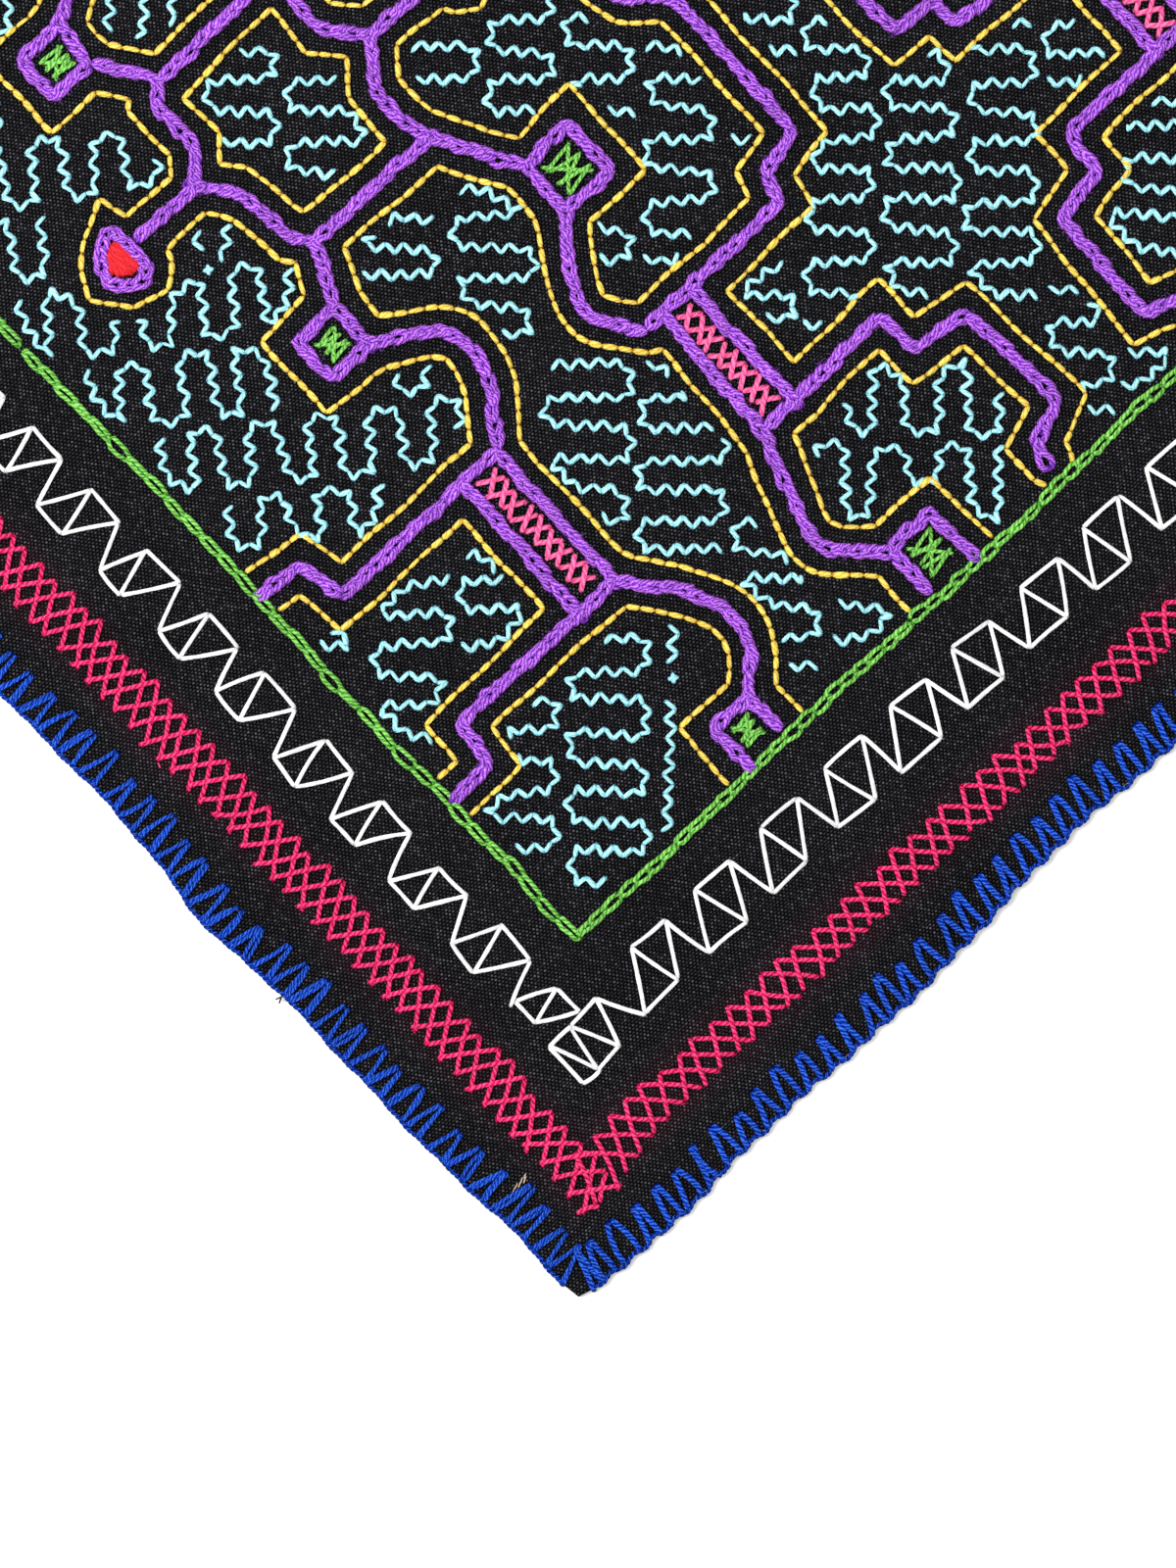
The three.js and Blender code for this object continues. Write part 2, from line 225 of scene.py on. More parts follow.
cloud = add_node(tree, "ShaderNodeTexNoise", {"Vector": place, "Scale": 35, "Detail": 3}).outputs[0]
crossing = add_node(tree, "ShaderNodeCombineXYZ")
speckle = add_node(tree, "ShaderNodeTexWhiteNoise", {0: crossing.outputs[0]}, noise_dimensions="2D")
dye_reach = add_node(tree, "ShaderNodeMapRange", {1: 3.5 * MM, 2: 8.0 * MM, 3: 0.12, 4: 0.0})

# Arithmetic in a material. The inputs of a step are numbers, or names of values and of earlier steps.
Step = namedtuple("Step", "name operation first second third", defaults=(0.0, 0.0))
values = {"x": split["X"], "y": split["Y"], "cloud": cloud, "speckle": speckle.outputs["Value"]}
values["dye reach"] = dye_reach.outputs[0]
weave_steps = [
    Step("across", "DIVIDE", "x", warp_spacing * MM),
    Step("along", "DIVIDE", "y", weft_spacing * MM),
    Step("further along", "ADD", "along", 1.0),
    Step("warp number", "FLOOR", "across"),
    Step("weft number", "FLOOR", "along"),
    Step("next weft", "FLOOR", "further along"),
    Step("warp angle", "MULTIPLY", "across", math.pi),
    Step("weft angle", "MULTIPLY", "along", math.pi),
    Step("warp wave", "SINE", "warp angle"),
    Step("weft wave", "SINE", "weft angle"),
    Step("warp crest", "ABSOLUTE", "warp wave"),
    Step("weft crest", "ABSOLUTE", "weft wave"),
    Step("warp phase", "MULTIPLY_ADD", "warp number", math.pi, "weft angle"),
    Step("weft phase", "MULTIPLY_ADD", "next weft", math.pi, "warp angle"),
    Step("warp rise", "SINE", "warp phase"),
    Step("weft rise", "SINE", "weft phase"),
    Step("warp over", "MULTIPLY_ADD", "warp rise", 0.5, 0.5),
    Step("weft over", "MULTIPLY_ADD", "weft rise", 0.5, 0.5),
    Step("warp thread", "MULTIPLY", "warp crest", "warp over"),
    Step("weft thread", "MULTIPLY", "weft crest", "weft over"),
    Step("height", "MAXIMUM", "warp thread", "weft thread"),
    # Painted light: thread crests are painted light and the pits between them dark, and the weft lighter than
    # the warp.
    Step("light", "MULTIPLY_ADD", "warp thread", warp_light, "weft thread"),
    # Painted highlight: a glint of random strength on each crossing.
    Step("glint", "POWER", "speckle", 4.0),
    Step("patches", "MULTIPLY_ADD", "cloud", 0.4, 0.3),
    Step("brightness", "MULTIPLY_ADD", "glint", 1.4, "patches"),
    Step("x from middle", "ABSOLUTE", "x"),
    Step("y from middle", "ABSOLUTE", "y"),
    Step("past band side", "SUBTRACT", "x from middle", dyed_half_width * MM),
    Step("past band end", "SUBTRACT", "y from middle", dyed_half_height * MM),
    Step("past band", "MAXIMUM", "past band side", "past band end"),
    Step("band distance", "ABSOLUTE", "past band"),
    Step("dye", "MULTIPLY", "dye reach", "cloud"),
]
for step in weave_steps:
    sockets = {i: values.get(value, value) for i, value in enumerate(step[2:])}
    values[step.name] = add_node(tree, "ShaderNodeMath", sockets, operation=step.operation).outputs[0]
tree.links.new(values["warp number"], crossing.inputs[0])
tree.links.new(values["weft number"], crossing.inputs[1])
tree.links.new(values["band distance"], dye_reach.inputs[0])

# Painted shade and light: the ramp turns the light value into near-black pits and grey crests.
shade = add_node(tree, "ShaderNodeValToRGB", {0: values["light"]})
shade.color_ramp.elements[0].position = 0.25
shade.color_ramp.elements[0].color = linear_colour("020203")
shade.color_ramp.elements[1].position = 1.0
shade.color_ramp.elements[1].color = linear_colour("46464b")
scaled = {0: shade.outputs[0], "Scale": values["brightness"]}
lit = add_node(tree, "ShaderNodeVectorMath", scaled, operation="SCALE").outputs[0]
dye_mix = {0: values["dye"], 6: lit, 7: linear_colour("5a1630")}
dyed = add_node(tree, "ShaderNodeMix", dye_mix, data_type="RGBA")
bump = {"Height": values["height"], "Strength": 0.8, "Distance": 0.15 * MM}
relief = add_node(tree, "ShaderNodeBump", bump)
weave_shader = tree.nodes["Principled BSDF"]
tree.links.new(dyed.outputs[2], weave_shader.inputs["Base Color"])
tree.links.new(relief.outputs[0], weave_shader.inputs["Normal"])
weave_shader.inputs["Roughness"].default_value = 0.88
weave_shader.inputs["Specular IOR Level"].default_value = 0.02
cloth.data.materials.append(weave)
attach(cloth, "root")
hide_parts("ground_cloth")

# Purple chain stitch
# The main lines of the pattern, in thick soft yarn worked in chain stitch through the cloth: each
# link is a loop that comes up inside the one before it and is held down by the next.
purple_pitch = 2.6
purple_width = 2.76
purple_strand = 0.68
fibre_spacing = 1.5
fibre_radius = 0.055
link_overlap = 2.1
thread_flatness = 0.88
# Painted shade: a thread's colour is darkened by how low it lies, fully where it goes into the cloth, and not
# at all on top.
sunk_level = 0.64
sunk_reach = 0.55
frame_half_width = 143.5
frame_half_height = 146.6
random = np.random.default_rng(7)
quarters = [(-1, -1), (1, -1), (-1, 1), (1, 1)]
hands = [("left", -1), ("right", 1)]
Line = namedtuple("Line", "name round closed points")
purple_chart = [
    Line("outer ladder, inner rail", 0, False, [(93, 71), (93.5, 104)]),
    Line("outer ladder, outer rail", 0, False, [(101.5, 71), (102.5, 104)]),
    Line("outer ladder, near arm", 1.5, False, [(93, 71), (132.5, 71.5), (134, 62.5), (142, 62)]),
    Line("outer ladder, far arm", 1.5, False, [(93.5, 104), (132, 103.5), (132.5, 112.5), (142, 113)]),
    Line("outer ladder, near arch", 9, False, [(93, 71), (84, 60), (84, 48), (97, 41)]),
    Line("outer near diamond", 1, True, [(97, 41), (106, 41), (106, 32), (97, 32)]),
    Line("outer far arch", 9, False, [(93.5, 104), (82.5, 117), (82.5, 129), (90, 136)]),
    Line("outer far diamond", 1, False, [(90, 145), (90, 136), (98.5, 136), (98.5, 145)]),
    Line("inner ladder, inner rail", 0, False, [(54, 73), (55, 102)]),
    Line("inner ladder, outer rail", 0, False, [(46.5, 73), (47, 102)]),
    Line(
        "inner ladder, near arm", 2, False,
        [(58.5, 73), (23.5, 73), (22.5, 66.5), (13.5, 66), (12, 32), (19, 27), (20.5, 22)],
    ),
    Line(
        "inner ladder, far arm", 2, False,
        [(54.5, 102), (24.5, 101.5), (24, 110.5), (12.5, 111.5), (11.5, 135), (21, 138), (21, 142)],
    ),
    Line("inner ladder, near arch", 7, False, [(58.5, 73), (65, 64), (62.5, 57.5), (53.5, 47.5)]),
    Line("inner near diamond", 1, True, [(53.5, 47.5), (42.5, 47.5), (42.5, 36), (53.5, 36)]),
    Line("inner far arch", 7, False, [(54.5, 102), (59.5, 115), (62, 126), (53, 134)]),
    Line("inner far diamond", 1, False, [(52.5, 145), (52.5, 134), (42.5, 134), (42, 145)]),
    Line("outer stem", 3, False, [(97, 32), (91, 20.5), (94.5, 17.5), (94.5, 6), (100.5, 0)]),
    Line("inner stem", 3, False, [(53.5, 36), (62.5, 20.5), (64, 17), (64, 7), (58.5, 0)]),
    Line("cross line", 0, False, [(91, 20.5), (62.5, 20.5)]),
]
# A stalk joins a drop to a stem: where the drop's middle is, and where the stalk starts and ends.
Stalk = namedtuple("Stalk", "name drop start end")
stalks = [Stalk("outer_drop", 119, 100.5, 113.2), Stalk("inner_drop", 37.5, 58.5, 43.3)]
# Where the lines, drawn by eye, drift off the chart: dx and dy at the place x, y, over about reach.
Drift = namedtuple("Drift", "x y dx dy reach")
drifts = [
    Drift(-52, -55, 0.2, -1.2, 42),
    Drift(32, -95, -1.6, 1.2, 30),
    Drift(-100, 3, 0, 2.2, 14),
    Drift(-119, 2, -1.6, 1.5, 12),
    Drift(-102, 37, -1.8, -1.2, 14),
]


def rounded_line(points, radius, closed):
    """A chart line with its turns made round, as an array of points."""
    corners = [np.array(point, float) for point in points]
    if closed:
        corners.append(corners[0])
    line = [corners[0]]
    for before, here, after in zip(corners, corners[1:], corners[2:]):
        reach = min(radius, 0.48 * np.linalg.norm(before - here), 0.48 * np.linalg.norm(after - here))
        start = here + (before - here) / np.linalg.norm(before - here) * reach
        end = here + (after - here) / np.linalg.norm(after - here) * reach
        steps = 8 if radius > 0 else 1
        for t in np.linspace(0, 1, steps + 1):
            line.append(start * (1 - t) ** 2 + here * 2 * t * (1 - t) + end * t ** 2)
    line.append(corners[-1])
    return np.array(line)


def drifted(points):
    """Moves points of the chart by the drift of the hand."""
    x, y = points[..., 0], points[..., 1]
    moved = np.array(points, float)
    for row in drifts:
        share = np.exp(-(((x - row.x) / row.reach) ** 2) - ((y - row.y) / row.reach) ** 2)
        moved += share[..., None] * np.array([row.dx, row.dy])
    return moved


def by_hand(points):
    """Moves points a little, so that lines drawn by eye wander as they do on the cloth."""
    x, y = points[..., 0], points[..., 1]
    dx = 0.34 * np.sin(0.11 * x + 0.07 * y + 1.3) + 0.22 * np.sin(0.33 * y - 0.13 * x + 0.4)
    dy = 0.34 * np.sin(0.09 * y - 0.08 * x + 2.1) + 0.22 * np.sin(0.35 * x + 0.12 * y + 1.9)
    return points + np.stack([dx, dy], axis=-1)


def walk(line, distances):
    """Points and side directions at distances along a line, which runs on straight past its ends."""
    steps = np.diff(line, axis=0)
    lengths = np.linalg.norm(steps, axis=1)
    keep = lengths > 1e-6
    line = line[np.append(True, keep)]
    steps = np.diff(line, axis=0)
    lengths = np.linalg.norm(steps, axis=1)
    reach = 8.0
    first = line[0] - steps[0] / lengths[0] * reach
    last = line[-1] + steps[-1] / lengths[-1] * reach
    longer = np.vstack([first, line, last])
    at = np.concatenate([[-reach], [0], np.cumsum(lengths), [lengths.sum() + reach]])

    def point(d):
        return np.stack([np.interp(d, at, longer[:, 0]), np.interp(d, at, longer[:, 1])], axis=-1)

    tangent = point(distances + 0.15) - point(distances - 0.15)
    tangent /= np.linalg.norm(tangent, axis=-1, keepdims=True)
    side = np.stack([-tangent[..., 1], tangent[..., 0]], axis=-1)
    return point(distances), side


def line_length(line):
    """The length of a line of points, in mm."""
    return np.linalg.norm(np.diff(line, axis=0), axis=1).sum()


# One link as a loop of thread: how far along it, how far to the side, and how high above the cloth.
Loop = namedtuple("Loop", "along across up")
full_half = [
    Loop(0.02, -0.10, -0.6),
    Loop(0.12, -0.36, 1.3),
    Loop(0.34, -0.74, 1.5),
    Loop(0.60, -1.04, 1.0),
    Loop(0.82, -0.90, 0.45),
    Loop(0.97, -0.30, 0.1),
]
full_loop = full_half + [Loop(p.along, -p.across, p.up) for p in reversed(full_half)]


def chain_links(line, pitch, width, strand, loop=full_loop):
    """The centre lines of the loops of a line of chain stitch."""
    count = max(1, round(line_length(line) / pitch))
    step = line_length(line) / count
    starts = np.arange(count) * step + random.normal(0, 0.08 * step, count)
    length = step + link_overlap * strand
    spread = (width / 2 - strand) * random.normal(1, 0.16, (count, 1))
    along = starts[:, None] + np.array([p.along for p in loop]) * length
    spot, side = walk(line, along)
    lean = random.normal(0, 0.17, (count, 1))
    offset = np.array([p.across for p in loop]) * spread + lean
    spot = spot + side * offset[..., None] + random.normal(0, 0.09, spot.shape)
    height = cloth_top(spot[..., 0], spot[..., 1]) + np.array([p.up for p in loop]) * strand
    return np.dstack([spot, height])


def add_threads(name, centres, radius, sides, material, slot, *nodes):
    """Adds one joined mesh of round threads, which stands for the nodes. centres is threads by steps by 3,
    in mm, and radius is one a step."""
    count, steps = centres.shape[:2]
    tangent = np.gradient(centres, axis=1)
    tangent /= np.linalg.norm(tangent, axis=2, keepdims=True)
    across = np.stack([-tangent[..., 1], tangent[..., 0], np.zeros((count, steps))], axis=2)
    across /= np.maximum(np.linalg.norm(across, axis=2, keepdims=True), 1e-9)
    over = np.cross(tangent, across) * thread_flatness
    angle = 2 * np.pi * (np.arange(sides) + 0.5) / sides
    ring = np.cos(angle)[:, None] * across[:, :, None, :] + np.sin(angle)[:, None] * over[:, :, None, :]
    radius = np.broadcast_to(radius, (count, steps))
    vertices = (centres[:, :, None, :] + ring * radius[:, :, None, None]) * MM

    index = np.arange(count * steps * sides).reshape(count, steps, sides)
    after = np.roll(index, -1, axis=2)
    quads = np.stack([index[:, :-1], after[:, :-1], after[:, 1:], index[:, 1:]], axis=-1).reshape(-1, 4)
    caps = np.concatenate([index[:, 0, ::-1], index[:, -1, :]])
    loops = np.concatenate([quads.ravel(), caps.ravel()])
    totals = np.concatenate([np.full(len(quads), 4), np.full(len(caps), sides)])

    length = np.zeros((count, steps))
    length[:, 1:] = np.cumsum(np.linalg.norm(np.diff(centres, axis=1), axis=2), axis=1)
    length += random.uniform(0, 10, (count, 1))
    u = np.broadcast_to(length[:, :, None], (count, steps, sides + 1))
    v = np.broadcast_to(np.arange(sides + 1) / sides, (count, steps, sides + 1))
    uv = np.stack([u, v], axis=-1)
    quad_uv = np.stack([uv[:, :-1, :-1], uv[:, :-1, 1:], uv[:, 1:, 1:], uv[:, 1:, :-1]], axis=3)
    quad_uv = quad_uv.reshape(-1, 2)
    cap_uv = np.concatenate([uv[:, 0, :-1][:, ::-1], uv[:, -1, :-1]]).reshape(-1, 2)

    mesh = bpy.data.meshes.new(name)
    mesh.vertices.add(vertices.size // 3)
    mesh.vertices.foreach_set("co", vertices.ravel())
    mesh.loops.add(len(loops))
    mesh.loops.foreach_set("vertex_index", loops)
    mesh.polygons.add(len(totals))
    mesh.polygons.foreach_set("loop_start", np.concatenate([[0], np.cumsum(totals)[:-1]]))
    mesh.polygons.foreach_set("loop_total", totals)
    mesh.polygons.foreach_set("use_smooth", np.ones(len(totals), bool))
    mesh.update(calc_edges=True)
    mesh.uv_layers.new(name="thread").data.foreach_set("uv", np.concatenate([quad_uv, cap_uv]).ravel())
    tone = mesh.attributes.new("tone", "FLOAT", "POINT")
    tone.data.foreach_set("value", np.repeat(random.uniform(0, 1, count), steps * sides))
    # Painted shade: how low each ring lies, which darkens the thread's colour near the cloth.
    above = centres[..., 2] - cloth_top(centres[..., 0], centres[..., 1])
    sunk = mesh.attributes.new("sunk", "FLOAT", "POINT")
    sunk.data.foreach_set("value", np.repeat(np.clip(sunk_level - above / sunk_reach, 0, 1), sides))
    mesh.validate()
    mesh.materials.append(material)
    piece = bpy.data.objects.new(name, mesh)
    bpy.context.scene.collection.objects.link(piece)
    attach(piece, "root")
    if nodes:
        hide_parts(*nodes)


# Plied embroidery yarn, spun and dyed: soft and matt, with slanting plies, painted lighter on their crests as
# highlight and dark in the grooves between them as shade, fine fibres, and a slightly uneven dye. Painted
# shade darkens it where it sinks into the cloth.
def yarn(name, dark, middle, light, turn, plies=2, groove=0.14, fuzz=0.9):
    """turn is the length in mm in which a ply goes once round, groove is how wide the painted shade of the
    grooves is, and fuzz is how far loose fibres hide the plies."""
    material = bpy.data.materials.new(name)
    material.use_nodes = True
    tree = material.node_tree
    uv = add_node(tree, "ShaderNodeUVMap", uv_map="thread").outputs[0]
    split = add_node(tree, "ShaderNodeSeparateXYZ", {0: uv}).outputs
    slack = add_node(tree, "ShaderNodeTexNoise", {"Vector": uv, "Scale": 0.9, "Detail": 1}).outputs[0]
    fibre_place = add_node(tree, "ShaderNodeCombineXYZ", {0: split[0]})
    fibre_noise = {"Vector": fibre_place.outputs[0], "Scale": 5.0, "Detail": 3}
    fibre = add_node(tree, "ShaderNodeTexNoise", fibre_noise).outputs[0]
    place = add_node(tree, "ShaderNodeTexCoord").outputs["Object"]
    dye = add_node(tree, "ShaderNodeTexNoise", {"Vector": place, "Scale": 120, "Detail": 2}).outputs[0]
    values = {"length": split[0], "round": split[1], "slack": slack, "fibre": fibre, "dye": dye}
    for attribute in ("sunk", "tone"):
        node = add_node(tree, "ShaderNodeAttribute", attribute_name=attribute)
        values[attribute] = node.outputs["Fac"]
    steps = [
        Step("wound", "MULTIPLY", "length", plies / turn),
        Step("even phase", "MULTIPLY_ADD", "round", plies, "wound"),
        Step("phase", "MULTIPLY_ADD", "slack", fuzz * 1.5, "even phase"),
        Step("angle", "MULTIPLY", "phase", math.pi),
        Step("wave", "SINE", "angle"),
        Step("ply", "ABSOLUTE", "wave"),
        Step("rough", "MULTIPLY_ADD", "fibre", 2.0, -0.4),
        Step("full height", "MULTIPLY_ADD", "rough", fuzz, "ply"),
        Step("height", "MULTIPLY", "full height", 1 / (1 + fuzz)),
        # Painted shade: the ramp's value is lowered where the thread sinks into the cloth.
        Step("lowered", "MULTIPLY_ADD", "sunk", -0.4, "height"),
        Step("uneven", "ADD", "dye", "tone"),
    ]
    for step in steps:
        sockets = {i: values.get(value, value) for i, value in enumerate(step[2:])}
        values[step.name] = add_node(tree, "ShaderNodeMath", sockets, operation=step.operation).outputs[0]
    tree.links.new(values["phase"], fibre_place.inputs[1])
    # Painted light and shade: the ramp paints the grooves dark and the crests light.
    shade = add_node(tree, "ShaderNodeValToRGB", {0: values["lowered"]})
    shade.color_ramp.elements[0].position = groove
    shade.color_ramp.elements[0].color = linear_colour(dark)
    shade.color_ramp.elements[1].position = 0.88
    shade.color_ramp.elements[1].color = linear_colour(light)
    between = shade.color_ramp.elements.new(groove + 0.32)
    between.color = linear_colour(middle)
    value_range = {0: values["uneven"], 1: 0.3, 2: 1.7, 3: 0.84, 4: 1.16}
    value = add_node(tree, "ShaderNodeMapRange", value_range).outputs[0]
    dyed = add_node(tree, "ShaderNodeHueSaturation", {"Color": shade.outputs[0], "Value": value}).outputs[0]
    bump = {"Height": values["height"], "Strength": 1.0, "Distance": 0.28 * MM}
    relief = add_node(tree, "ShaderNodeBump", bump).outputs[0]
    shader = tree.nodes["Principled BSDF"]
    tree.links.new(dyed, shader.inputs["Base Color"])
    tree.links.new(relief, shader.inputs["Normal"])
    shader.inputs["Roughness"].default_value = 0.65
    shader.inputs["Specular IOR Level"].default_value = 0.05
    return material


purple_lines = []
for row in purple_chart:
    charted = rounded_line(row.points, row.round, row.closed)
    for quarter in quarters:
        purple_lines.append(by_hand(drifted(charted * quarter)))
stalk_lines = []
for stalk in stalks:
    for side in (-1, 1):
        straight = np.array([(side * stalk.start, 0.0), (side * stalk.end, 0.0)])
        stalk_lines.append(by_hand(drifted(straight)))
purple_lines += stalk_lines


def stray_fibres(line, width):
    """Loose fibres that stand out from both sides of a line of yarn."""
    count = max(1, int(line_length(line) / fibre_spacing))
    hand = np.where(random.uniform(0, 1, count) < 0.5, -1, 1)
    spot, side = walk(line, random.uniform(0, line_length(line), count))
    along = np.stack([side[:, 1], -side[:, 0]], axis=1)
    out = (hand * random.uniform(0.3, 0.9, count))[:, None] * side
    drift = random.uniform(-0.9, 0.9, (count, 1)) * along
    root = spot + (hand * (width / 2 - 0.5))[:, None] * side
    steps = [root, root + out * 0.7 + drift * 0.2, root + out * 1.1 + drift * 0.7, root + out + drift * 1.3]
    spots = np.stack(steps, axis=1)
    height = cloth_top(spots[..., 0], spots[..., 1]) + np.array([0.75, 0.7, 0.4, 0.1])
    return np.dstack([spots, height])


loop_taper = np.array([0.7, 1, 1, 1, 1, 0.95, 0.95, 1, 1, 1, 1, 0.7])
# Soft cotton yarn, thick and loosely spun: furry, with violet crests painted light and deep grooves painted
# dark as shade.
purple_shades = ("380a66", "8a34d6", "ec9cff")
purple_yarn = yarn("purple_soft_cotton_yarn", *purple_shades, turn=4.2, plies=4, groove=0.24, fuzz=1.5)
for hand, sign in hands:
    own = [line for line in purple_lines if line[:, 0].mean() * sign > 0]
    links = np.concatenate([chain_links(line, purple_pitch, purple_width, purple_strand) for line in own])
    name = "purple_chain_stitches_" + hand
    radii = loop_taper * purple_strand
    add_threads(name, links, radii, 5, purple_yarn, "purple_thread", "purple_chain_" + hand)
    wisps = np.concatenate([stray_fibres(line, purple_width) for line in own])
    add_threads("purple_loose_fibres_" + hand, wisps, fibre_radius, 3, purple_yarn, "purple_thread")

# Green chain stitch
# The frame round the pattern, one line of chain stitch in thinner yarn. Its links are long and open on
# the left side, and closer on the others.
green_width = 2.2
green_strand = 0.45
green_pitches = [3.5, 3.8, 4.1, 4.8]
open_half = [
    Loop(0.02, -0.20, -0.6),
    Loop(0.12, -0.60, 1.35),
    Loop(0.30, -1.0, 1.2),
    Loop(0.60, -1.0, 0.75),
    Loop(0.86, -0.75, 0.35),
    Loop(0.98, -0.26, 0.15),
]
open_loop = open_half + [Loop(p.along, -p.across, p.up) for p in reversed(open_half)]
frame_corners = [(-1, -1), (1, -1), (1, 1), (-1, 1)]
frame_line = [(x * frame_half_width, y * frame_half_height) for x, y in frame_corners]
green_links = []
for start, end, pitch in zip(frame_line, frame_line[1:] + frame_line[:1], green_pitches):
    side_line = by_hand(np.linspace(start, end, 60))
    green_links.append(chain_links(side_line, pitch, green_width, green_strand, open_loop))
# Two-ply cotton yarn, thin and twisted: crisp slanting plies, each with a painted highlight on its crest and
# painted shade in its grooves.
green_yarn = yarn("green_two_ply_cotton_yarn", "225c10", "6ab846", "a4ee7c", turn=2.2, groove=0.2)
links = np.concatenate(green_links)
radii = loop_taper * green_strand
add_threads("green_chain_stitches", links, radii, 5, green_yarn, "green_thread", "green_chain_frame")

# Drops
# A ring of purple chain stitch, round at the foot and pointed at the top, filled with red stitches laid
# side by side.
drop_half_width = 3.8
drop_half_height = 5.3
drop_chain_width = 2.8
drop_chain_strand = 0.62
drop_pitch = 2.2
drop_round = 3
fill_scale = 0.66
fill_reach = 3.6
fill_spacing = 0.5
fill_lean = 0.35
fill_radius = 0.42
drop_shape = [
    (-1, -0.27), (-0.45, -0.88), (0.45, -1), (0.96, -0.71), (0.99, -0.04), (0.96, 0.59), (0.77, 1),
    (-0.09, 0.71), (-0.64, 0.18),
]


def drop_line(x, turn, radius):
    """The ring of a drop, which points up. turn is 1 where its stalk is on the right, -1 on the left."""
    corners = [(x + turn * px * drop_half_width, py * drop_half_height) for px, py in drop_shape]
    return by_hand(drifted(rounded_line(corners, radius, True)))


drop_lines = {}
sharp_drops = []
for stalk in stalks:
    for hand, sign in hands:
        turn = sign if stalk.start > stalk.drop else -sign
        ring = drop_line(sign * stalk.drop, turn, drop_round)
        sharp_drops.append(drop_line(sign * stalk.drop, turn, 0))
        node = stalk.name + "_" + hand
        drop_lines[node] = ring
        links = chain_links(ring, drop_pitch, drop_chain_width, drop_chain_strand)
        radii = loop_taper * drop_chain_strand
        add_threads(stalk.name + "_chain_" + hand, links, radii, 5, purple_yarn, "purple_thread", node)

# Stranded cotton, hardly twisted: smooth and even, so that a fill is one bright red with fine lines; its
# shallow grooves are painted a darker red as shade.
red_thread = yarn("red_stranded_cotton", "a00e16", "e0222e", "fa3e44", turn=5.0, plies=3)


def straight_stitches(starts, ends, rise, profile, bend=0.0):
    """Stitches from hole to hole: each rises from the cloth, lies on it and goes down again."""
    starts = np.asarray(starts, float)
    ends = np.asarray(ends, float)
    share = profile[:, 0]
    spot = starts[:, None, :] * (1 - share)[None, :, None] + ends[:, None, :] * share[None, :, None]
    if bend:
        way = ends - starts
        side = np.stack([-way[:, 1], way[:, 0]], axis=1) / np.linalg.norm(way, axis=1, keepdims=True)
        bow = random.normal(0, bend, (len(starts), 1)) * (4 * share * (1 - share))[None, :]
        spot = spot + side[:, None, :] * bow[..., None]
    rise = np.broadcast_to(np.asarray(rise, float), (len(starts),))
    height = cloth_top(spot[..., 0], spot[..., 1]) + profile[:, 1][None, :] * rise[:, None]
    return np.dstack([spot, height])


# Columns: share of the stitch's length, share of its rise, share of its thickness.
long_stitch = np.array([
    (0.0, -0.5, 0.7), (0.06, 0.5, 1.0), (0.28, 0.95, 1.0), (0.5, 1.0, 1.0), (0.72, 0.95, 1.0),
    (0.94, 0.5, 1.0), (1.0, -0.5, 0.7),
])
short_stitch = np.array([
    (0.0, -0.45, 0.6), (0.22, 0.75, 1.0), (0.5, 1.0, 1.06), (0.78, 0.75, 1.0), (1.0, -0.45, 0.6),
])
tiny_stitch = np.array([
    (0.0, -0.4, 0.7), (0.2, 0.75, 1.0), (0.5, 1.0, 1.0), (0.8, 0.75, 1.0), (1.0, -0.4, 0.7),
])

way = np.array([fill_lean, 1.0]) / math.hypot(fill_lean, 1.0)
side = np.array([way[1], -way[0]])
for name, ring in drop_lines.items():
    centre = ring.mean(axis=0)
    inner = centre + (ring - centre) * fill_scale
    reach = (inner - centre) @ way
    level = (inner - centre) @ side
    starts, ends = [], []
    for offset in np.arange(-fill_reach, fill_reach + 0.1, fill_spacing):
        beside = np.abs(level - offset) < 0.55
        if beside.sum() >= 2 and reach[beside].max() - reach[beside].min() > 1.0:
            jitter = random.normal(0, 0.18, 2)
            starts.append(centre + side * offset + way * (reach[beside].min() + jitter[0]))
            ends.append(centre + side * offset + way * (reach[beside].max() + jitter[1]))
    fill = straight_stitches(starts, ends, 0.6, long_stitch, bend=0.08)
    radii = fill_radius * long_stitch[:, 2]
    kind, hand = name.rsplit("_", 1)
    add_threads(name + "_fill_stitches", fill, radii, 6, red_thread, "red_thread", kind + "_fill_" + hand)

# Yellow back stitch
# A line of short thick stitches runs round each place that the purple lines enclose, at an even
# distance from them, with sharp turns. It is the outer line of a strip laid along every purple line,
# whose small turns are drawn sharp and whose wide arches are drawn round.
outline_distance = 4.6
drop_outline_distance = 3.6
yellow_length = 2.75
yellow_radius = 0.52
corner_turn = math.radians(38)
strip_overlap = 0.4
widest_sharp_turn = 3
shortest_outline = 12
shortest_side = 1.0
probe_step = 0.25
probe_reach = 1.2
frame_gap = 1.3
Strip = namedtuple("Strip", "line distance")
strips = [Strip(line, outline_distance) for line in stalk_lines]
strips += [Strip(line, drop_outline_distance) for line in sharp_drops]
for row in purple_chart:
    charted = rounded_line(row.points, row.round if row.round > widest_sharp_turn else 0, row.closed)
    for quarter in quarters:
        strips.append(Strip(by_hand(drifted(charted * quarter)), outline_distance))
strip_corners = []
strip_shapes = []


def lay_shape(corners):
    """Adds one convex patch of the strips, turned anticlockwise."""
    corners = np.asarray(corners)
    after = np.roll(corners, -1, axis=0)
    area = (corners[:, 0] * after[:, 1] - corners[:, 1] * after[:, 0]).sum() / 2
    if abs(area) < 1e-5:
        return
    if area < 0:
        corners = corners[::-1]
    strip_shapes.append(list(range(len(strip_corners), len(strip_corners) + len(corners))))
    strip_corners.extend(Vector(corner) for corner in corners.tolist())


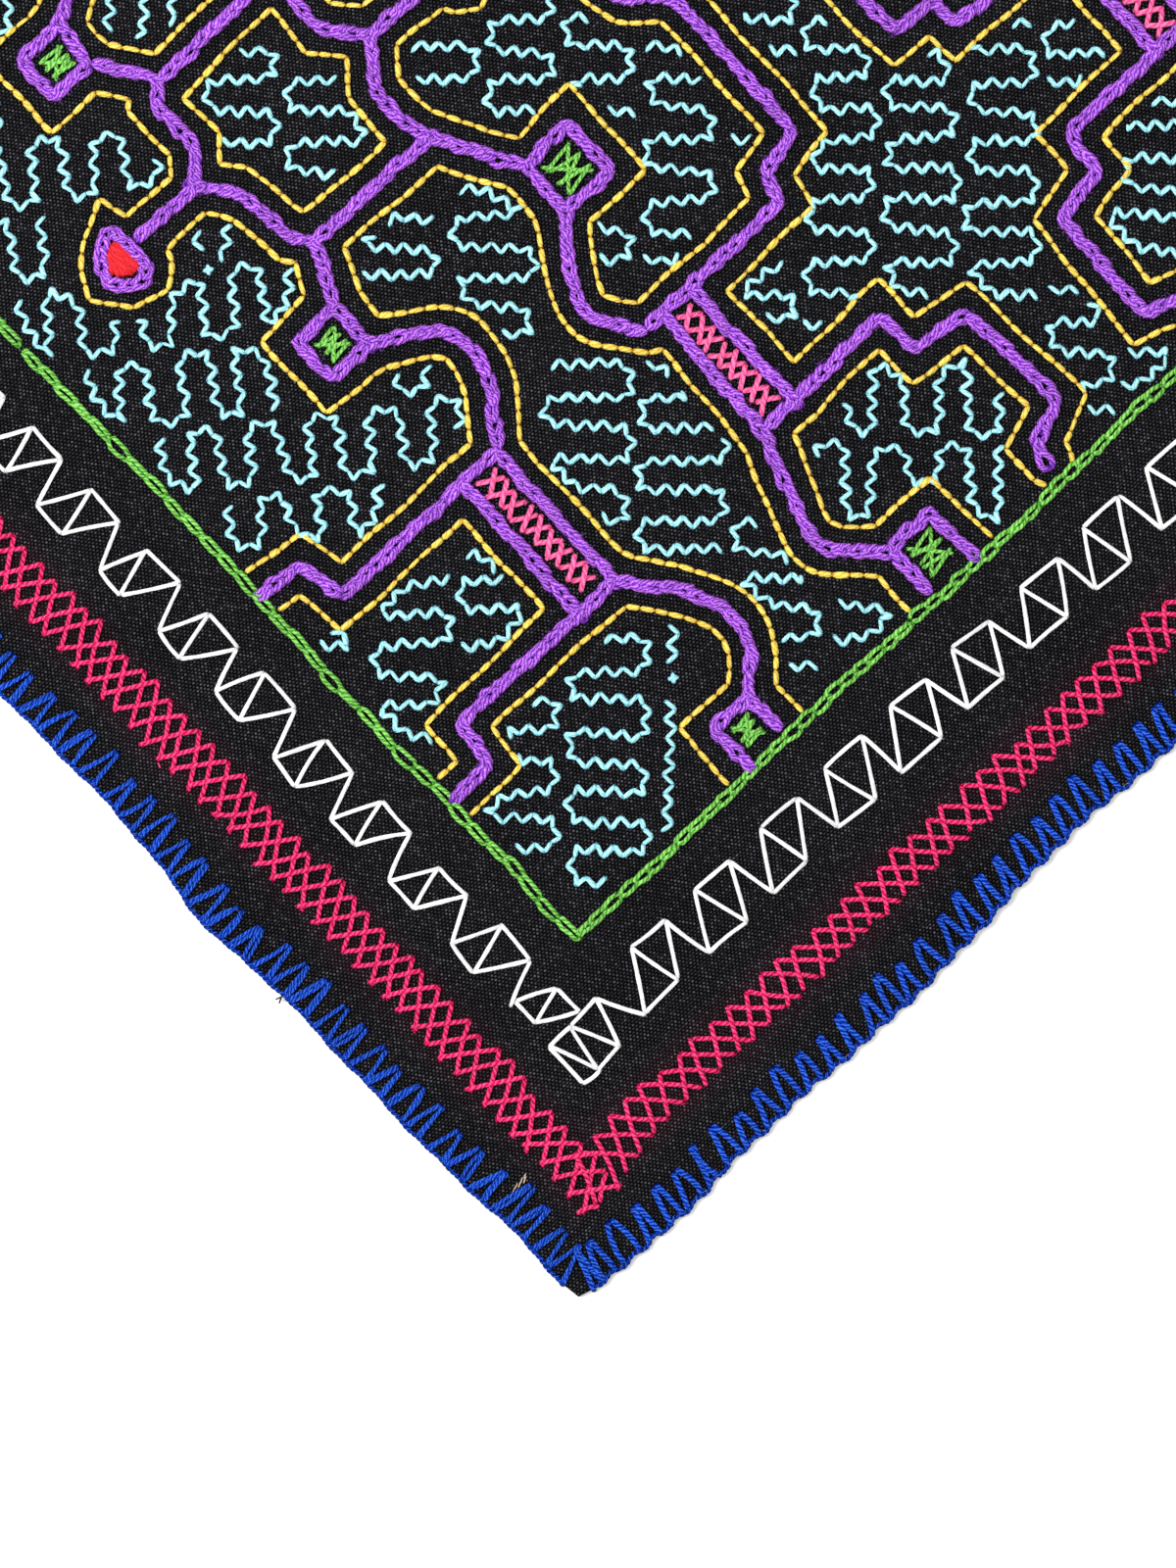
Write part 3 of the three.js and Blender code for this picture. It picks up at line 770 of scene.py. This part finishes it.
round_turn = np.arange(20) / 20 * 2 * math.pi
for line, distance in strips:
    round_end = distance * np.stack([np.cos(round_turn), np.sin(round_turn)], axis=1)
    line = line[np.append(True, np.linalg.norm(np.diff(line, axis=0), axis=1) > 0.02)]
    ways = np.diff(line, axis=0)
    ways /= np.linalg.norm(ways, axis=1, keepdims=True)
    sides = distance * np.stack([-ways[:, 1], ways[:, 0]], axis=1)
    for start, end, way, side in zip(line, line[1:], ways * strip_overlap, sides):
        lay_shape([start - way + side, start - way - side, end + way - side, end + way + side])
    for i in range(0 if np.allclose(line[0], line[-1]) else 1, len(sides)):
        spot, side, next_side = line[i], sides[i - 1], sides[i]
        level = side @ next_side / distance ** 2
        if -0.6 < level < 0.9945:
            outer = -np.sign(side[0] * next_side[1] - side[1] * next_side[0])
            apex = spot + outer * (side + next_side) / (1 + level)
            lay_shape([spot, spot + outer * side, apex, spot + outer * next_side])
    lay_shape(line[0] + round_end)
    lay_shape(line[-1] + round_end)
patches = geometry.delaunay_2d_cdt(strip_corners, [], strip_shapes, 0, 1e-6, True)
patch_spots = np.array([spot[:] for spot in patches[0]])
border_edges = {}
for corners, shapes in zip(patches[2], patches[5]):
    if shapes:
        for first, second in zip(corners, corners[1:] + corners[:1]):
            if border_edges.pop((second, first), None) is None:
                border_edges[(first, second)] = True
following = {}
for first, second in border_edges:
    following.setdefault(first, []).append(second)
outlines = []
while following:
    here = next(iter(following))
    loop = []
    while here in following:
        loop.append(here)
        onward = following[here].pop()
        if not following[here]:
            del following[here]
        here = onward
    outlines.append(patch_spots[loop])

Place = namedtuple("Place", "kind left right low high")
filled_places = [
    Place("ladder", 93, 102, 71, 104),
    Place("ladder", 46.7, 54.6, 73, 102),
    Place("diamond", 97, 106, 32, 41),
    Place("diamond", 42.5, 53.5, 36, 47.5),
    Place("diamond", 90, 98.5, 136, 145),
    Place("diamond", 42.3, 52.5, 134, 145),
]


def in_open_cloth(points, margin):
    """Which points lie inside the green frame, and outside the ladders, diamonds and drops."""
    x, y = np.abs(points[:, 0]), np.abs(points[:, 1])
    good = (x < frame_half_width - margin) & (y < frame_half_height - margin)
    for spot in filled_places:
        good &= ~((x > spot.left) & (x < spot.right) & (y > spot.low) & (y < spot.high))
    for ring in drop_lines.values():
        centre = ring.mean(axis=0)
        good &= np.hypot(points[:, 0] - centre[0], points[:, 1] - centre[1]) > 4
    return good


def on_outline(distance):
    """Points at distances along the outline that is being sewn."""
    distance = np.mod(distance, at[-1])
    return np.stack([np.interp(distance, at, closed[:, k]) for k in (0, 1)], axis=-1)


starts, ends = [], []
for outline in outlines:
    closed = np.vstack([outline, outline[:1]])
    at = np.concatenate([[0], np.cumsum(np.linalg.norm(np.diff(closed, axis=0), axis=1))])
    if at[-1] < shortest_outline:
        continue
    steps = np.arange(0, at[-1], probe_step)
    spots = on_outline(steps)
    came = spots - on_outline(steps - probe_reach)
    goes = on_outline(steps + probe_reach) - spots
    turning = np.abs(np.arctan2(came[:, 0] * goes[:, 1] - came[:, 1] * goes[:, 0], (came * goes).sum(axis=1)))
    highest = np.max([np.roll(turning, k) for k in range(-5, 6)], axis=0)
    is_corner = (turning >= highest) & (turning > corner_turn)
    good = in_open_cloth(spots, frame_gap)
    first = int(np.argmin(good)) if not good.all() else int(np.argmax(turning))
    stops = []
    for i in np.roll(np.arange(len(steps)), -first):
        before = good[i - 1]
        after = good[(i + 1) % len(steps)]
        if good[i] and (not stops or is_corner[i] or not before or not after):
            stops.append(steps[i])
        if not good[i] or i == (first - 1) % len(steps):
            if good[i]:
                stops.append(steps[first] + at[-1])
            for begin, finish in zip(stops, stops[1:]):
                length = (finish - begin) % at[-1] or at[-1]
                if length < shortest_side:
                    continue
                places = np.linspace(0, length, max(1, round(length / yellow_length)) + 1)
                places[1:-1] += random.normal(0, 0.16, len(places) - 2)
                holes = on_outline(begin + places) + random.normal(0, 0.06, (len(places), 2))
                starts.append(by_hand(holes[:-1]))
                ends.append(by_hand(holes[1:]))
            stops = []
yellow_paths = straight_stitches(np.concatenate(starts), np.concatenate(ends), 0.5, short_stitch)
yellow_radii = yellow_radius * short_stitch[:, 2] * random.normal(1, 0.09, (len(yellow_paths), 1))
# Stranded cotton in a warm dye: smooth, painted pale on the crest as highlight and brown as shade where it
# goes into the cloth.
yellow_thread = yarn("yellow_stranded_cotton", "a46a0a", "ffd044", "ffea80", turn=4.5, plies=3)
add_threads("yellow_back_stitches", yellow_paths, yellow_radii, 5, yellow_thread, "yellow_thread")

# Light blue zigzag filling
# The open cloth inside the yellow outlines is filled with a winding zigzag of short back stitches. It
# goes to and fro in runs, and the runs lie at a slant to the weave: level or upright in the picture.
band_width = 14.6
band_gap = 2.2
run_pitch = 5.55
zigzag_step = 1.72
zigzag_half_height = 0.98
light_blue_radius = 0.47
narrow_band = 7.0
fill_margin = 1.15
turn_radius = 2.1
smallest_cell = 60
shortest_run = 3.4
star_gap = 2.6
stitch_margin = 0.45
scan_step = 0.4
fewest_steps = 12
narrowest_band = 2.5
upright_inset = 1.9
# Open places, by a spot in them. A place is filled in bands: band is their width, or 0 for even shares,
# and wide is how many are wound to and fro, before the ones that are single upright lines.
Cell = namedtuple("Cell", "across up upright band wide tilt")
cells = [
    Cell(115, 122, False, 16.2, 2, 0),
    Cell(118, 88, False, 0, 99, 0),
    Cell(118, 45, True, 14.0, 99, 7),
    Cell(74.5, 88, False, 17.5, 99, 0),
    Cell(78, 3, False, 0, 99, 0),
    Cell(20, 88, False, 0, 99, 0),
    Cell(35, 122, True, 0, 99, 0),
    Cell(38, 60, False, 0, 99, 0),
    Cell(5, 3, True, 0, 99, 0),
]
stars = [(-108.9, -11.2), (-97.8, -124.2)]
purple_spots = []
for line in purple_lines + list(drop_lines.values()):
    spots, _ = walk(line, np.arange(0, line_length(line), scan_step))
    purple_spots.append(spots)
purple_spots = np.concatenate(purple_spots)
purple_tree = kdtree.KDTree(len(purple_spots))
for i, spot in enumerate(purple_spots):
    purple_tree.insert((spot[0], spot[1], 0), i)
purple_tree.balance()


def is_free(points, margin):
    """Which points lie in open cloth, a margin away from the yellow outline and the green frame."""
    distance = np.array([purple_tree.find((x, y, 0))[2] for x, y in points])
    return in_open_cloth(points, 1.2 + margin) & (distance > outline_distance + margin)


square = 1.0
columns_x = np.arange(-frame_half_width, frame_half_width, square)
columns_y = np.arange(-frame_half_height, frame_half_height, square)
mesh_x, mesh_y = np.meshgrid(columns_x, columns_y, indexing="ij")
mesh_points = np.stack([mesh_x.ravel(), mesh_y.ravel()], axis=1)
free = is_free(mesh_points, fill_margin).reshape(mesh_x.shape)


def grown_from(x, y):
    """The free squares that are joined to the one at x, y."""
    reached = np.zeros_like(free)
    i = int((x + frame_half_width) / square)
    j = int((y + frame_half_height) / square)
    reached[i - 1:i + 2, j - 1:j + 2] = True
    reached &= free
    while True:
        wider = reached.copy()
        wider[1:] |= reached[:-1]
        wider[:-1] |= reached[1:]
        wider[:, 1:] |= reached[:, :-1]
        wider[:, :-1] |= reached[:, 1:]
        wider &= free
        if (wider == reached).all():
            return reached
        reached = wider


def is_reached(spots):
    """Which points lie in the squares of the cell that is being filled."""
    i = np.clip(np.round((spots[:, 0] + frame_half_width) / square).astype(int), 0, free.shape[0] - 1)
    j = np.clip(np.round((spots[:, 1] + frame_half_height) / square).astype(int), 0, free.shape[1] - 1)
    return reached[i, j]


def longest_stretch(good):
    """The first and last place of the longest stretch of true values."""
    edges = np.flatnonzero(np.diff(np.concatenate([[0], good.astype(int), [0]])))
    if len(edges) == 0:
        return 0, 0
    lengths = edges[1::2] - edges[::2]
    best = int(np.argmax(lengths))
    return edges[2 * best], edges[2 * best + 1] - 1


def lay_zigzag(line):
    """Lays the stitches of a zigzag that follows a line."""
    line = by_hand(line)
    places = np.arange(0, line_length(line), zigzag_step)
    places = places + random.normal(0, 0.12, len(places))
    spots, sides = walk(line, places)
    turned = np.zeros(len(places))
    turned[1:-1] = np.abs(sides[:-2, 0] * sides[2:, 1] - sides[:-2, 1] * sides[2:, 0])
    swing = zigzag_half_height * (1 - 0.22 * turned) * (1 - 2 * (np.arange(len(places)) % 2))
    spots = spots + sides * (swing * random.normal(1, 0.14, len(places)))[:, None]
    good = is_free(spots, stitch_margin)
    for star in stars:
        good &= np.linalg.norm(spots - star, axis=1) > star_gap
    good = good[:-1] & good[1:]
    starts.append(spots[:-1][good])
    ends.append(spots[1:][good])


starts, ends = [], []
used = np.zeros_like(free)
for cell in cells:
    for mirror in quarters:
        reached = grown_from(cell.across * mirror[0], cell.up * mirror[1]) & ~used
        if reached.sum() < smallest_cell:
            continue
        used |= reached
        angle = math.radians(cell.tilt) - view_turn + (math.pi / 2 if cell.upright else 0)
        if mirror[0] * mirror[1] < 0:
            angle = -angle
        way = np.array([math.cos(angle), math.sin(angle)])
        climb = np.array([-way[1], way[0]])
        inside = mesh_points[reached.ravel()]
        left, right = (inside @ way).min(), (inside @ way).max()
        low, high = (inside @ climb).min(), (inside @ climb).max()
        width = cell.band or (right - left + band_gap) / max(1, round((right - left + band_gap) / band_width))
        for number, begin in enumerate(np.arange(left, right - narrowest_band, width)):
            finish = min(begin + width - band_gap, right)
            line = []
            if number >= cell.wide or finish - begin < narrow_band:
                upward = (begin + upright_inset) * way + np.arange(low, high, scan_step)[:, None] * climb
                good = is_reached(upward)
                first, last = longest_stretch(good)
                while last - first > fewest_steps:
                    slant = random.uniform(-0.8, 0.8) * way
                    lay_zigzag(np.array([upward[first] - slant, upward[last] + slant]))
                    good[first:last + 1] = False
                    first, last = longest_stretch(good)
                continue
            places = np.arange(begin, finish + 0.01, scan_step)
            levels = np.arange(low + 0.4, high + run_pitch, run_pitch)
            for n, level in enumerate(levels):
                spots = places[:, None] * way + level * climb
                first, last = longest_stretch(is_reached(spots))
                short = places[last] - places[first] < shortest_run
                if not short:
                    run = (first, last) if n % 2 == 0 else (last, first)
                    wander = random.normal(0, 0.35, (2, 2))
                    line += [spots[run[0]] + wander[0], spots[run[1]] + wander[1]]
                if line and (short or n == len(levels) - 1):
                    lay_zigzag(rounded_line(line, turn_radius, False))
                    line = []
for star in stars:
    for slant in (0.2, 1.7):
        reach = 0.9 * np.array([math.cos(slant - view_turn), math.sin(slant - view_turn)])
        starts.append([np.array(star) - reach])
        ends.append([np.array(star) + reach])
light_paths = straight_stitches(np.concatenate(starts), np.concatenate(ends), 0.42, tiny_stitch)
light_radii = light_blue_radius * tiny_stitch[:, 2] * random.normal(1, 0.09, (len(light_paths), 1))
# Stranded cotton in a pale dye: painted nearly white on the crest as highlight, and a deeper blue as shade at
# both ends, where it goes into the cloth.
light_blue_thread = yarn("light_blue_stranded_cotton", "3490bc", "a2f2ff", "ccffff", turn=4.0, plies=3)
for hand, sign in hands:
    own = light_paths[:, 0, 0] * sign > 0
    name = "light_blue_zigzag_stitches_" + hand
    add_threads(name, light_paths[own], light_radii[own], 5, light_blue_thread, "light_blue_thread")

# Pink crosses and green strokes
# Wide low crosses climb each ladder in one thick thread, and each diamond is filled with a zigzag of
# green strokes under two long crossed ones.
cross_half_width = 2.15
cross_half_height = 1.4
cross_pitch = 3.1
cross_radius = 0.54
stroke_radius = 0.4
stroke_inset = 2.1
stroke_levels = 6
starts, ends = [], []
green_starts, green_ends = [], []
for spot in filled_places:
    for quarter in quarters:
        middle = (spot.left + spot.right) / 2
        if spot.kind == "ladder":
            for level in np.arange(spot.low + 3.7, spot.high - 3.4, cross_pitch):
                for lean in (-1, 1):
                    reach = np.array([cross_half_width, cross_half_height * lean])
                    low = np.array([middle, level]) - reach
                    high = np.array([middle, level]) + reach
                    starts.append(drifted((low + random.normal(0, 0.3, 2)) * quarter))
                    ends.append(drifted((high + random.normal(0, 0.3, 2)) * quarter))
        else:
            half = (spot.right - spot.left) / 2 - stroke_inset
            levels = np.linspace(spot.low + 2.2, spot.high - 2.0, stroke_levels)
            strokes = []
            for i, level in enumerate(levels[:-1]):
                sign = 1 - 2 * (i % 2)
                strokes.append(((middle - sign * half, level), (middle + sign * half, levels[i + 1])))
            strokes.append(((middle - half, levels[0]), (middle + half, levels[-1])))
            strokes.append(((middle + half, levels[0]), (middle - half, levels[-1])))
            for first, second in strokes:
                green_starts.append(drifted((np.array(first) + random.normal(0, 0.2, 2)) * quarter))
                green_ends.append(drifted((np.array(second) + random.normal(0, 0.2, 2)) * quarter))
rises = np.where(np.arange(len(starts)) % 2 == 0, 0.5, 0.9)
pink_paths = straight_stitches(starts, ends, rises, long_stitch, 0.12)
# Stranded cotton, thick and loosely twisted: broad soft plies with deep pink painted between them as shade.
pink_thread = yarn("pink_stranded_cotton", "a81c50", "ff5696", "ff88b8", turn=2.8)
add_threads("pink_crosses", pink_paths, cross_radius * long_stitch[:, 2], 5, pink_thread, "pink_thread")
green_rises = random.uniform(0.4, 1.0, len(green_starts))
green_paths = straight_stitches(green_starts, green_ends, green_rises, long_stitch, 0.15)
radii = stroke_radius * long_stitch[:, 2]
add_threads("green_diamond_strokes", green_paths, radii, 5, green_yarn, "green_thread")

# White boxes
# A row of leaning boxes in long straight stitches, each with one diagonal and a slanting stitch to the
# next, goes round the border. Two boxes lie over each other at the corner.
Side = namedtuple("Side", "corner way inward length pitch box")
# A box: where the ends of its top and its toe lie past its foot along the side, and how deep it is.
Box = namedtuple("Box", "near far toe deep")
white_half_width = 161.2
white_half_height = 165.4
corner_reach = 17.5
white_radius = 0.43
last_squeeze = 0.78
upright_box = Box(4.0, 12.0, 6.7, 9.0)
level_box = Box(6.2, 14.6, 8.8, 10.0)


def border_sides(half_x, half_y, pitches):
    """The four sides of a border line, anticlockwise, each from its first corner."""
    return [
        Side((-half_x, -half_y), (1, 0), (0, 1), 2 * half_x, pitches[0], level_box),
        Side((half_x, -half_y), (0, 1), (-1, 0), 2 * half_y, pitches[1], upright_box),
        Side((half_x, half_y), (-1, 0), (0, -1), 2 * half_x, pitches[2], level_box),
        Side((-half_x, half_y), (0, -1), (1, 0), 2 * half_y, pitches[3], upright_box),
    ]


def on_side(side, along, inward):
    """A point at a distance along a side and a distance in from it."""
    return np.array(side.corner) + np.array(side.way) * along + np.array(side.inward) * inward


corner_spots = {
    "a": (12.9, 8.0), "b": (6.0, 7.3), "c": (0.6, 7.3), "d": (0.6, -2.0), "e": (4.3, -1.9), "f": (10.1, -1.4),
}
corner_strokes = ["ab", "bc", "cd", "de", "ef", "fa", "bf", "be", "ce"]
box_strokes = [
    ("foot", "near"), ("near", "far"), ("far", "toe"), ("toe", "foot"), ("near", "toe"), ("far", "next"),
]
starts, ends = [], []
for side in border_sides(white_half_width, white_half_height, (16.4, 16.2, 17.2, 15.2)):
    for first, second in corner_strokes:
        starts.append(on_side(side, *corner_spots[first]) + random.normal(0, 0.15, 2))
        ends.append(on_side(side, *corner_spots[second]) + random.normal(0, 0.15, 2))
    starts.append(on_side(side, *corner_spots["a"]))
    ends.append(on_side(side, corner_reach, -0.5))
    row_length = side.length - 2 * corner_reach
    count = round(row_length / side.pitch)
    growth = (row_length - count * side.pitch) / count ** 2
    feet = corner_reach + np.arange(count + 2) * side.pitch + growth * np.arange(count + 2) ** 2
    foot_spots = [on_side(side, foot, 0.2) + random.normal(0, 0.3, 2) for foot in feet]
    for i, foot in enumerate(feet[:-1]):
        last = i == count
        squeeze = last_squeeze if last else 1.0
        spot = {
            "near": on_side(side, foot + side.box.near * squeeze, side.box.deep),
            "far": on_side(side, foot + side.box.far * squeeze, side.box.deep - 0.3),
            "toe": on_side(side, foot + side.box.toe * squeeze, -0.3 + 1.8 * last),
        }
        spot = {name: place + random.normal(0, 0.3, 2) for name, place in spot.items()}
        spot.update({"foot": foot_spots[i] + np.array(side.inward) * 1.2 * last, "next": foot_spots[i + 1]})
        for first, second in box_strokes[:5] if last else box_strokes:
            starts.append(spot[first] + random.normal(0, 0.1, 2))
            ends.append(spot[second] + random.normal(0, 0.1, 2))
white_rises = random.uniform(0.35, 0.6, len(starts))
white_paths = straight_stitches(starts, ends, white_rises, long_stitch, 0.13)
white_radii = white_radius * long_stitch[:, 2] * random.normal(1, 0.06, white_paths.shape[:2])
# Bleached stranded cotton: white all over, with only a faint grey painted in its grooves as shade.
white_thread = yarn("white_stranded_cotton", "e6e6ea", "fcfcfc", "ffffff", turn=9.0, plies=3)
add_threads("white_box_stitches", white_paths, white_radii, 6, white_thread, "white_thread")

# Crimson herringbone
# A close herringbone band: long slanting stitches from one edge of the band to the other and back, so
# that each crosses its neighbours and they make a lattice. One side's band fills each corner.

# A side's band: its width, how far its strokes go forth and back, where the first one starts, how far its
# outer edge sags at the corner, and how far it runs on past its end.
Band = namedtuple("Band", "width forth back first sag over")
starts, ends, rises = [], [], []
band_sides = border_sides(177.0, 182.6, (4.2, 4.0, 3.95, 3.8))
bands = [
    Band(7.6, 4.3, 8.0, 2.8, 2.7, 0),
    Band(8.6, 5.9, 5.9, 8.6, 0, 0),
    Band(8.2, 5.7, 5.6, 9.4, 0, 0),
    Band(9.2, 6.0, 6.4, 9.0, 0, 2.9),
]
sag_reach = 16
crimson_radius = 0.48
forth_rise = 1.0
back_rise = 0.55


def outer_spot(side, band, along, inward=0):
    """A point of the band, whose outer edge sags outwards near the side's first corner."""
    return on_side(side, along, inward - band.sag * math.exp(-(along / sag_reach) ** 4))


for side, band in zip(band_sides, bands):
    end = side.length + band.over
    for foot in np.arange(band.first, end - 1.5, side.pitch):
        top = foot + band.forth
        foot_spot = outer_spot(side, band, foot) + random.normal(0, 0.34, 2)
        share = min(1.0, (end - foot) / band.forth)
        top_spot = on_side(side, foot + band.forth * share, band.width * share) + random.normal(0, 0.34, 2)
        starts.append(foot_spot)
        ends.append(top_spot)
        rises.append(forth_rise)
        share = min(1.0, (end - top) / band.back)
        if share > 0.2:
            starts.append(top_spot + random.normal(0, 0.12, 2))
            back_spot = outer_spot(side, band, top + band.back * share, band.width * (1 - share))
            ends.append(back_spot + random.normal(0, 0.25, 2))
            rises.append(back_rise)
crimson_paths = straight_stitches(starts, ends, rises, long_stitch, 0.25)
# Two-ply cotton, twisted tight: like a small rope, with dark red painted as shade in the grooves and a
# painted highlight on the bright plies.
crimson_thread = yarn("crimson_two_ply_cotton", "70042a", "f21c60", "ff5e98", turn=2.2, groove=0.22)
add_threads(
    "crimson_herringbone_stitches", crimson_paths, crimson_radius * long_stitch[:, 2], 5,
    crimson_thread, "crimson_thread", "crimson_cross_band",
)

# Blue edge stitching
# The cut edge is held by slanting stitches in pairs, each pair from one hole, in doubled thread that
# passes over the edge, and by a thin two-ply cord that lies along it and dips under it here and there.
# The thread is twisted tight on the lower side and loose on the left.

# turn is the way along a side, feet are where a pair's feet lie from its middle, strands are the threads
# side by side in a leg, and dip is how far the cord goes under the edge.
Edge = namedtuple("Edge", "side half turn pitch feet strands radius dip")
edges = [
    Edge("bottom", cloth_width / 2, 1, 5.1, (-2.9, 0.3), (0.0,), 0.62, 0.35),
    Edge("right", cloth_height / 2, 1, 5.0, (-2.7, 0.7), (0.0,), 0.62, 0.3),
    Edge("top", cloth_width / 2, -1, 5.0, (-2.4, 1.1), (-0.36, 0.36), 0.42, 0.2),
    Edge("left", cloth_height / 2, -1, 5.2, (-2.1, 1.4), (-0.3, 0.3), 0.41, 0.1),
]
leg_depth = 6.9
hole_half_width = 0.42
first_pair = 10.3
last_pair = 11.5
# The pair beside each corner: how far its hole lies from the corner, how deep, and where its feet are.
Corner = namedtuple("Corner", "hole depth feet")
start_corner = Corner(7.0, 7.6, (4.3, 6.4))
end_corner = Corner(7.6, 7.0, (8.6, 4.5))


def edge_spot(side, place, inset):
    """Points at an inset from the cut edge."""
    place = np.asarray(place, float)
    is_level = side in ("bottom", "top")
    half = cloth_height / 2 if is_level else cloth_width / 2
    sign = -1 if side in ("bottom", "left") else 1
    out = sign * (half + along_side(edge_waves, side, place, "out") - inset)
    return np.stack([place, out] if is_level else [out, place], axis=-1)


starts, ends, radii = [], [], []
for edge in edges:
    last = 2 * edge.half - last_pair
    count = round((last - first_pair) / edge.pitch)
    legs = []
    for i in range(count + 1):
        middle = first_pair + i * (last - first_pair) / count + random.normal(0, 0.35)
        depth = leg_depth + random.normal(0, 0.5)
        for foot, aside in zip(edge.feet, (-hole_half_width, hole_half_width)):
            hole = edge_spot(edge.side, edge.turn * (middle + aside - edge.half), depth)
            legs.append((hole, middle + foot + random.normal(0, 0.3)))
    hole = edge_spot(edge.side, edge.turn * (start_corner.hole - edge.half), start_corner.depth)
    legs += [(hole, foot) for foot in start_corner.feet]
    hole = edge_spot(edge.side, edge.turn * (edge.half - end_corner.hole), end_corner.depth)
    legs += [(hole, 2 * edge.half - foot) for foot in end_corner.feet]
    for hole, foot in legs:
        for strand in edge.strands:
            starts.append(hole + random.normal(0, 0.13, 2))
            ends.append(edge_spot(edge.side, edge.turn * (foot + strand - edge.half), -0.25))
            radii.append(edge.radius)
starts, ends = np.array(starts), np.array(ends)
over_edge = np.array([
    (0.0, -0.5, 0.8), (0.06, 0.7, 1.0), (0.35, 1.0, 1.0), (0.7, 0.95, 1.0), (0.93, 0.6, 0.95),
    (1.0, -0.7, 0.8),
])
leg_paths = straight_stitches(starts, ends, random.uniform(0.4, 0.8, len(starts)), over_edge, 0.3)
leg_radii = np.array(radii)[:, None] * over_edge[:, 2]
# Two-ply cotton, twisted tight: painted nearly black as shade in the grooves, with a cool painted highlight
# on the crest.
blue_shades = ("010a30", "0434ba", "4a8aff")
blue_thread = yarn("blue_two_ply_cotton", *blue_shades, turn=2.6, plies=3, groove=0.3, fuzz=1.2)
add_threads("blue_edge_legs", leg_paths, leg_radii, 6, blue_thread, "blue_thread")

cord_turn = 2.2
cord_strand = 0.3
cord_core = 0.24
cord_bare_corner = 4.2
cord_steps = 1000
cord_outset = 0.2
paths = []
for edge in edges:
    place = np.linspace(-edge.half + cord_bare_corner, edge.half - cord_bare_corner, cord_steps)
    spot = edge_spot(edge.side, edge.turn * place, -cord_outset)
    out = edge_spot(edge.side, edge.turn * place, -1 - cord_outset) - spot
    height = cloth_top(spot[:, 0], spot[:, 1]) + 0.1
    drift = 0.18 * np.sin(place / 2.9) - edge.dip * 0.6
    drift += edge.dip * np.sin(2 * math.pi * place / edge.pitch + 1)
    for ply in (0, math.pi):
        angle = 2 * math.pi * place / cord_turn + ply
        ring = spot + out * (drift + cord_core * np.cos(angle))[:, None]
        paths.append(np.column_stack([ring, height + cord_core * np.sin(angle)]))
radii = np.full(cord_steps, cord_strand)
add_threads("blue_edge_cord_plies", np.array(paths), radii, 5, blue_thread, "blue_thread", "blue_edge_cord")

# Flaws and loose ends
# A pale slub in the weave near the corner, a pale fleck and a shred of pink lint on the border, and two
# frayed black thread ends at the cut edge.
Fibre = namedtuple("Fibre", "x y slant length")
pale_fibres = [
    Fibre(-183.3, -172.8, 0.45, 1.0),
    Fibre(-182.6, -172.6, 0.45, 1.3),
    Fibre(-181.9, -172.8, 0.45, 1.4),
    Fibre(-181.2, -172.5, 0.45, 1.5),
    Fibre(-180.6, -172.8, 0.45, 1.5),
    Fibre(-180.1, -172.3, 0.45, 1.1),
    Fibre(-185.2, -70.0, 0.2, 0.7),
]
pink_fibres = [Fibre(-177.6, -71.4, 1.2, 1.2)]
black_fibres = [
    Fibre(-190.9, -95.7, 0.3, 1.8),
    Fibre(-191.2, -96.1, 2.6, 1.3),
    Fibre(-190.6, -117.7, 2.8, 1.7),
    Fibre(-190.9, -118.1, 0.5, 1.2),
]


def loose_fibres(name, fibres, material, slot, thick):
    """Short thin fibres, lying on the cloth or standing out from its edge."""
    spots = np.array([(fibre.x, fibre.y) for fibre in fibres])
    slants = np.array([fibre.slant for fibre in fibres])
    halves = np.array([[fibre.length / 2] for fibre in fibres])
    reach = np.stack([np.cos(slants), np.sin(slants)], axis=1) * halves
    paths = straight_stitches(spots - reach, spots + reach, 0.2, tiny_stitch)
    add_threads(name, paths, thick * tiny_stitch[:, 2], 5, material, slot)


# Single cotton fibres, undyed and black: dull, with hardly any twist to see.
pale_thread = yarn("undyed_cotton_fibre", "8a7262", "d8bca4", "f2e0cc", turn=3.0)
black_thread = yarn("black_cotton_fibre", "050507", "161618", "2c2c30", turn=3.0)
loose_fibres("pale_slub_fibres", pale_fibres, pale_thread, "ground_cloth", 0.14)
loose_fibres("pink_lint", pink_fibres, pink_thread, "pink_thread", 0.16)
loose_fibres("frayed_black_ends", black_fibres, black_thread, "ground_cloth", 0.16)
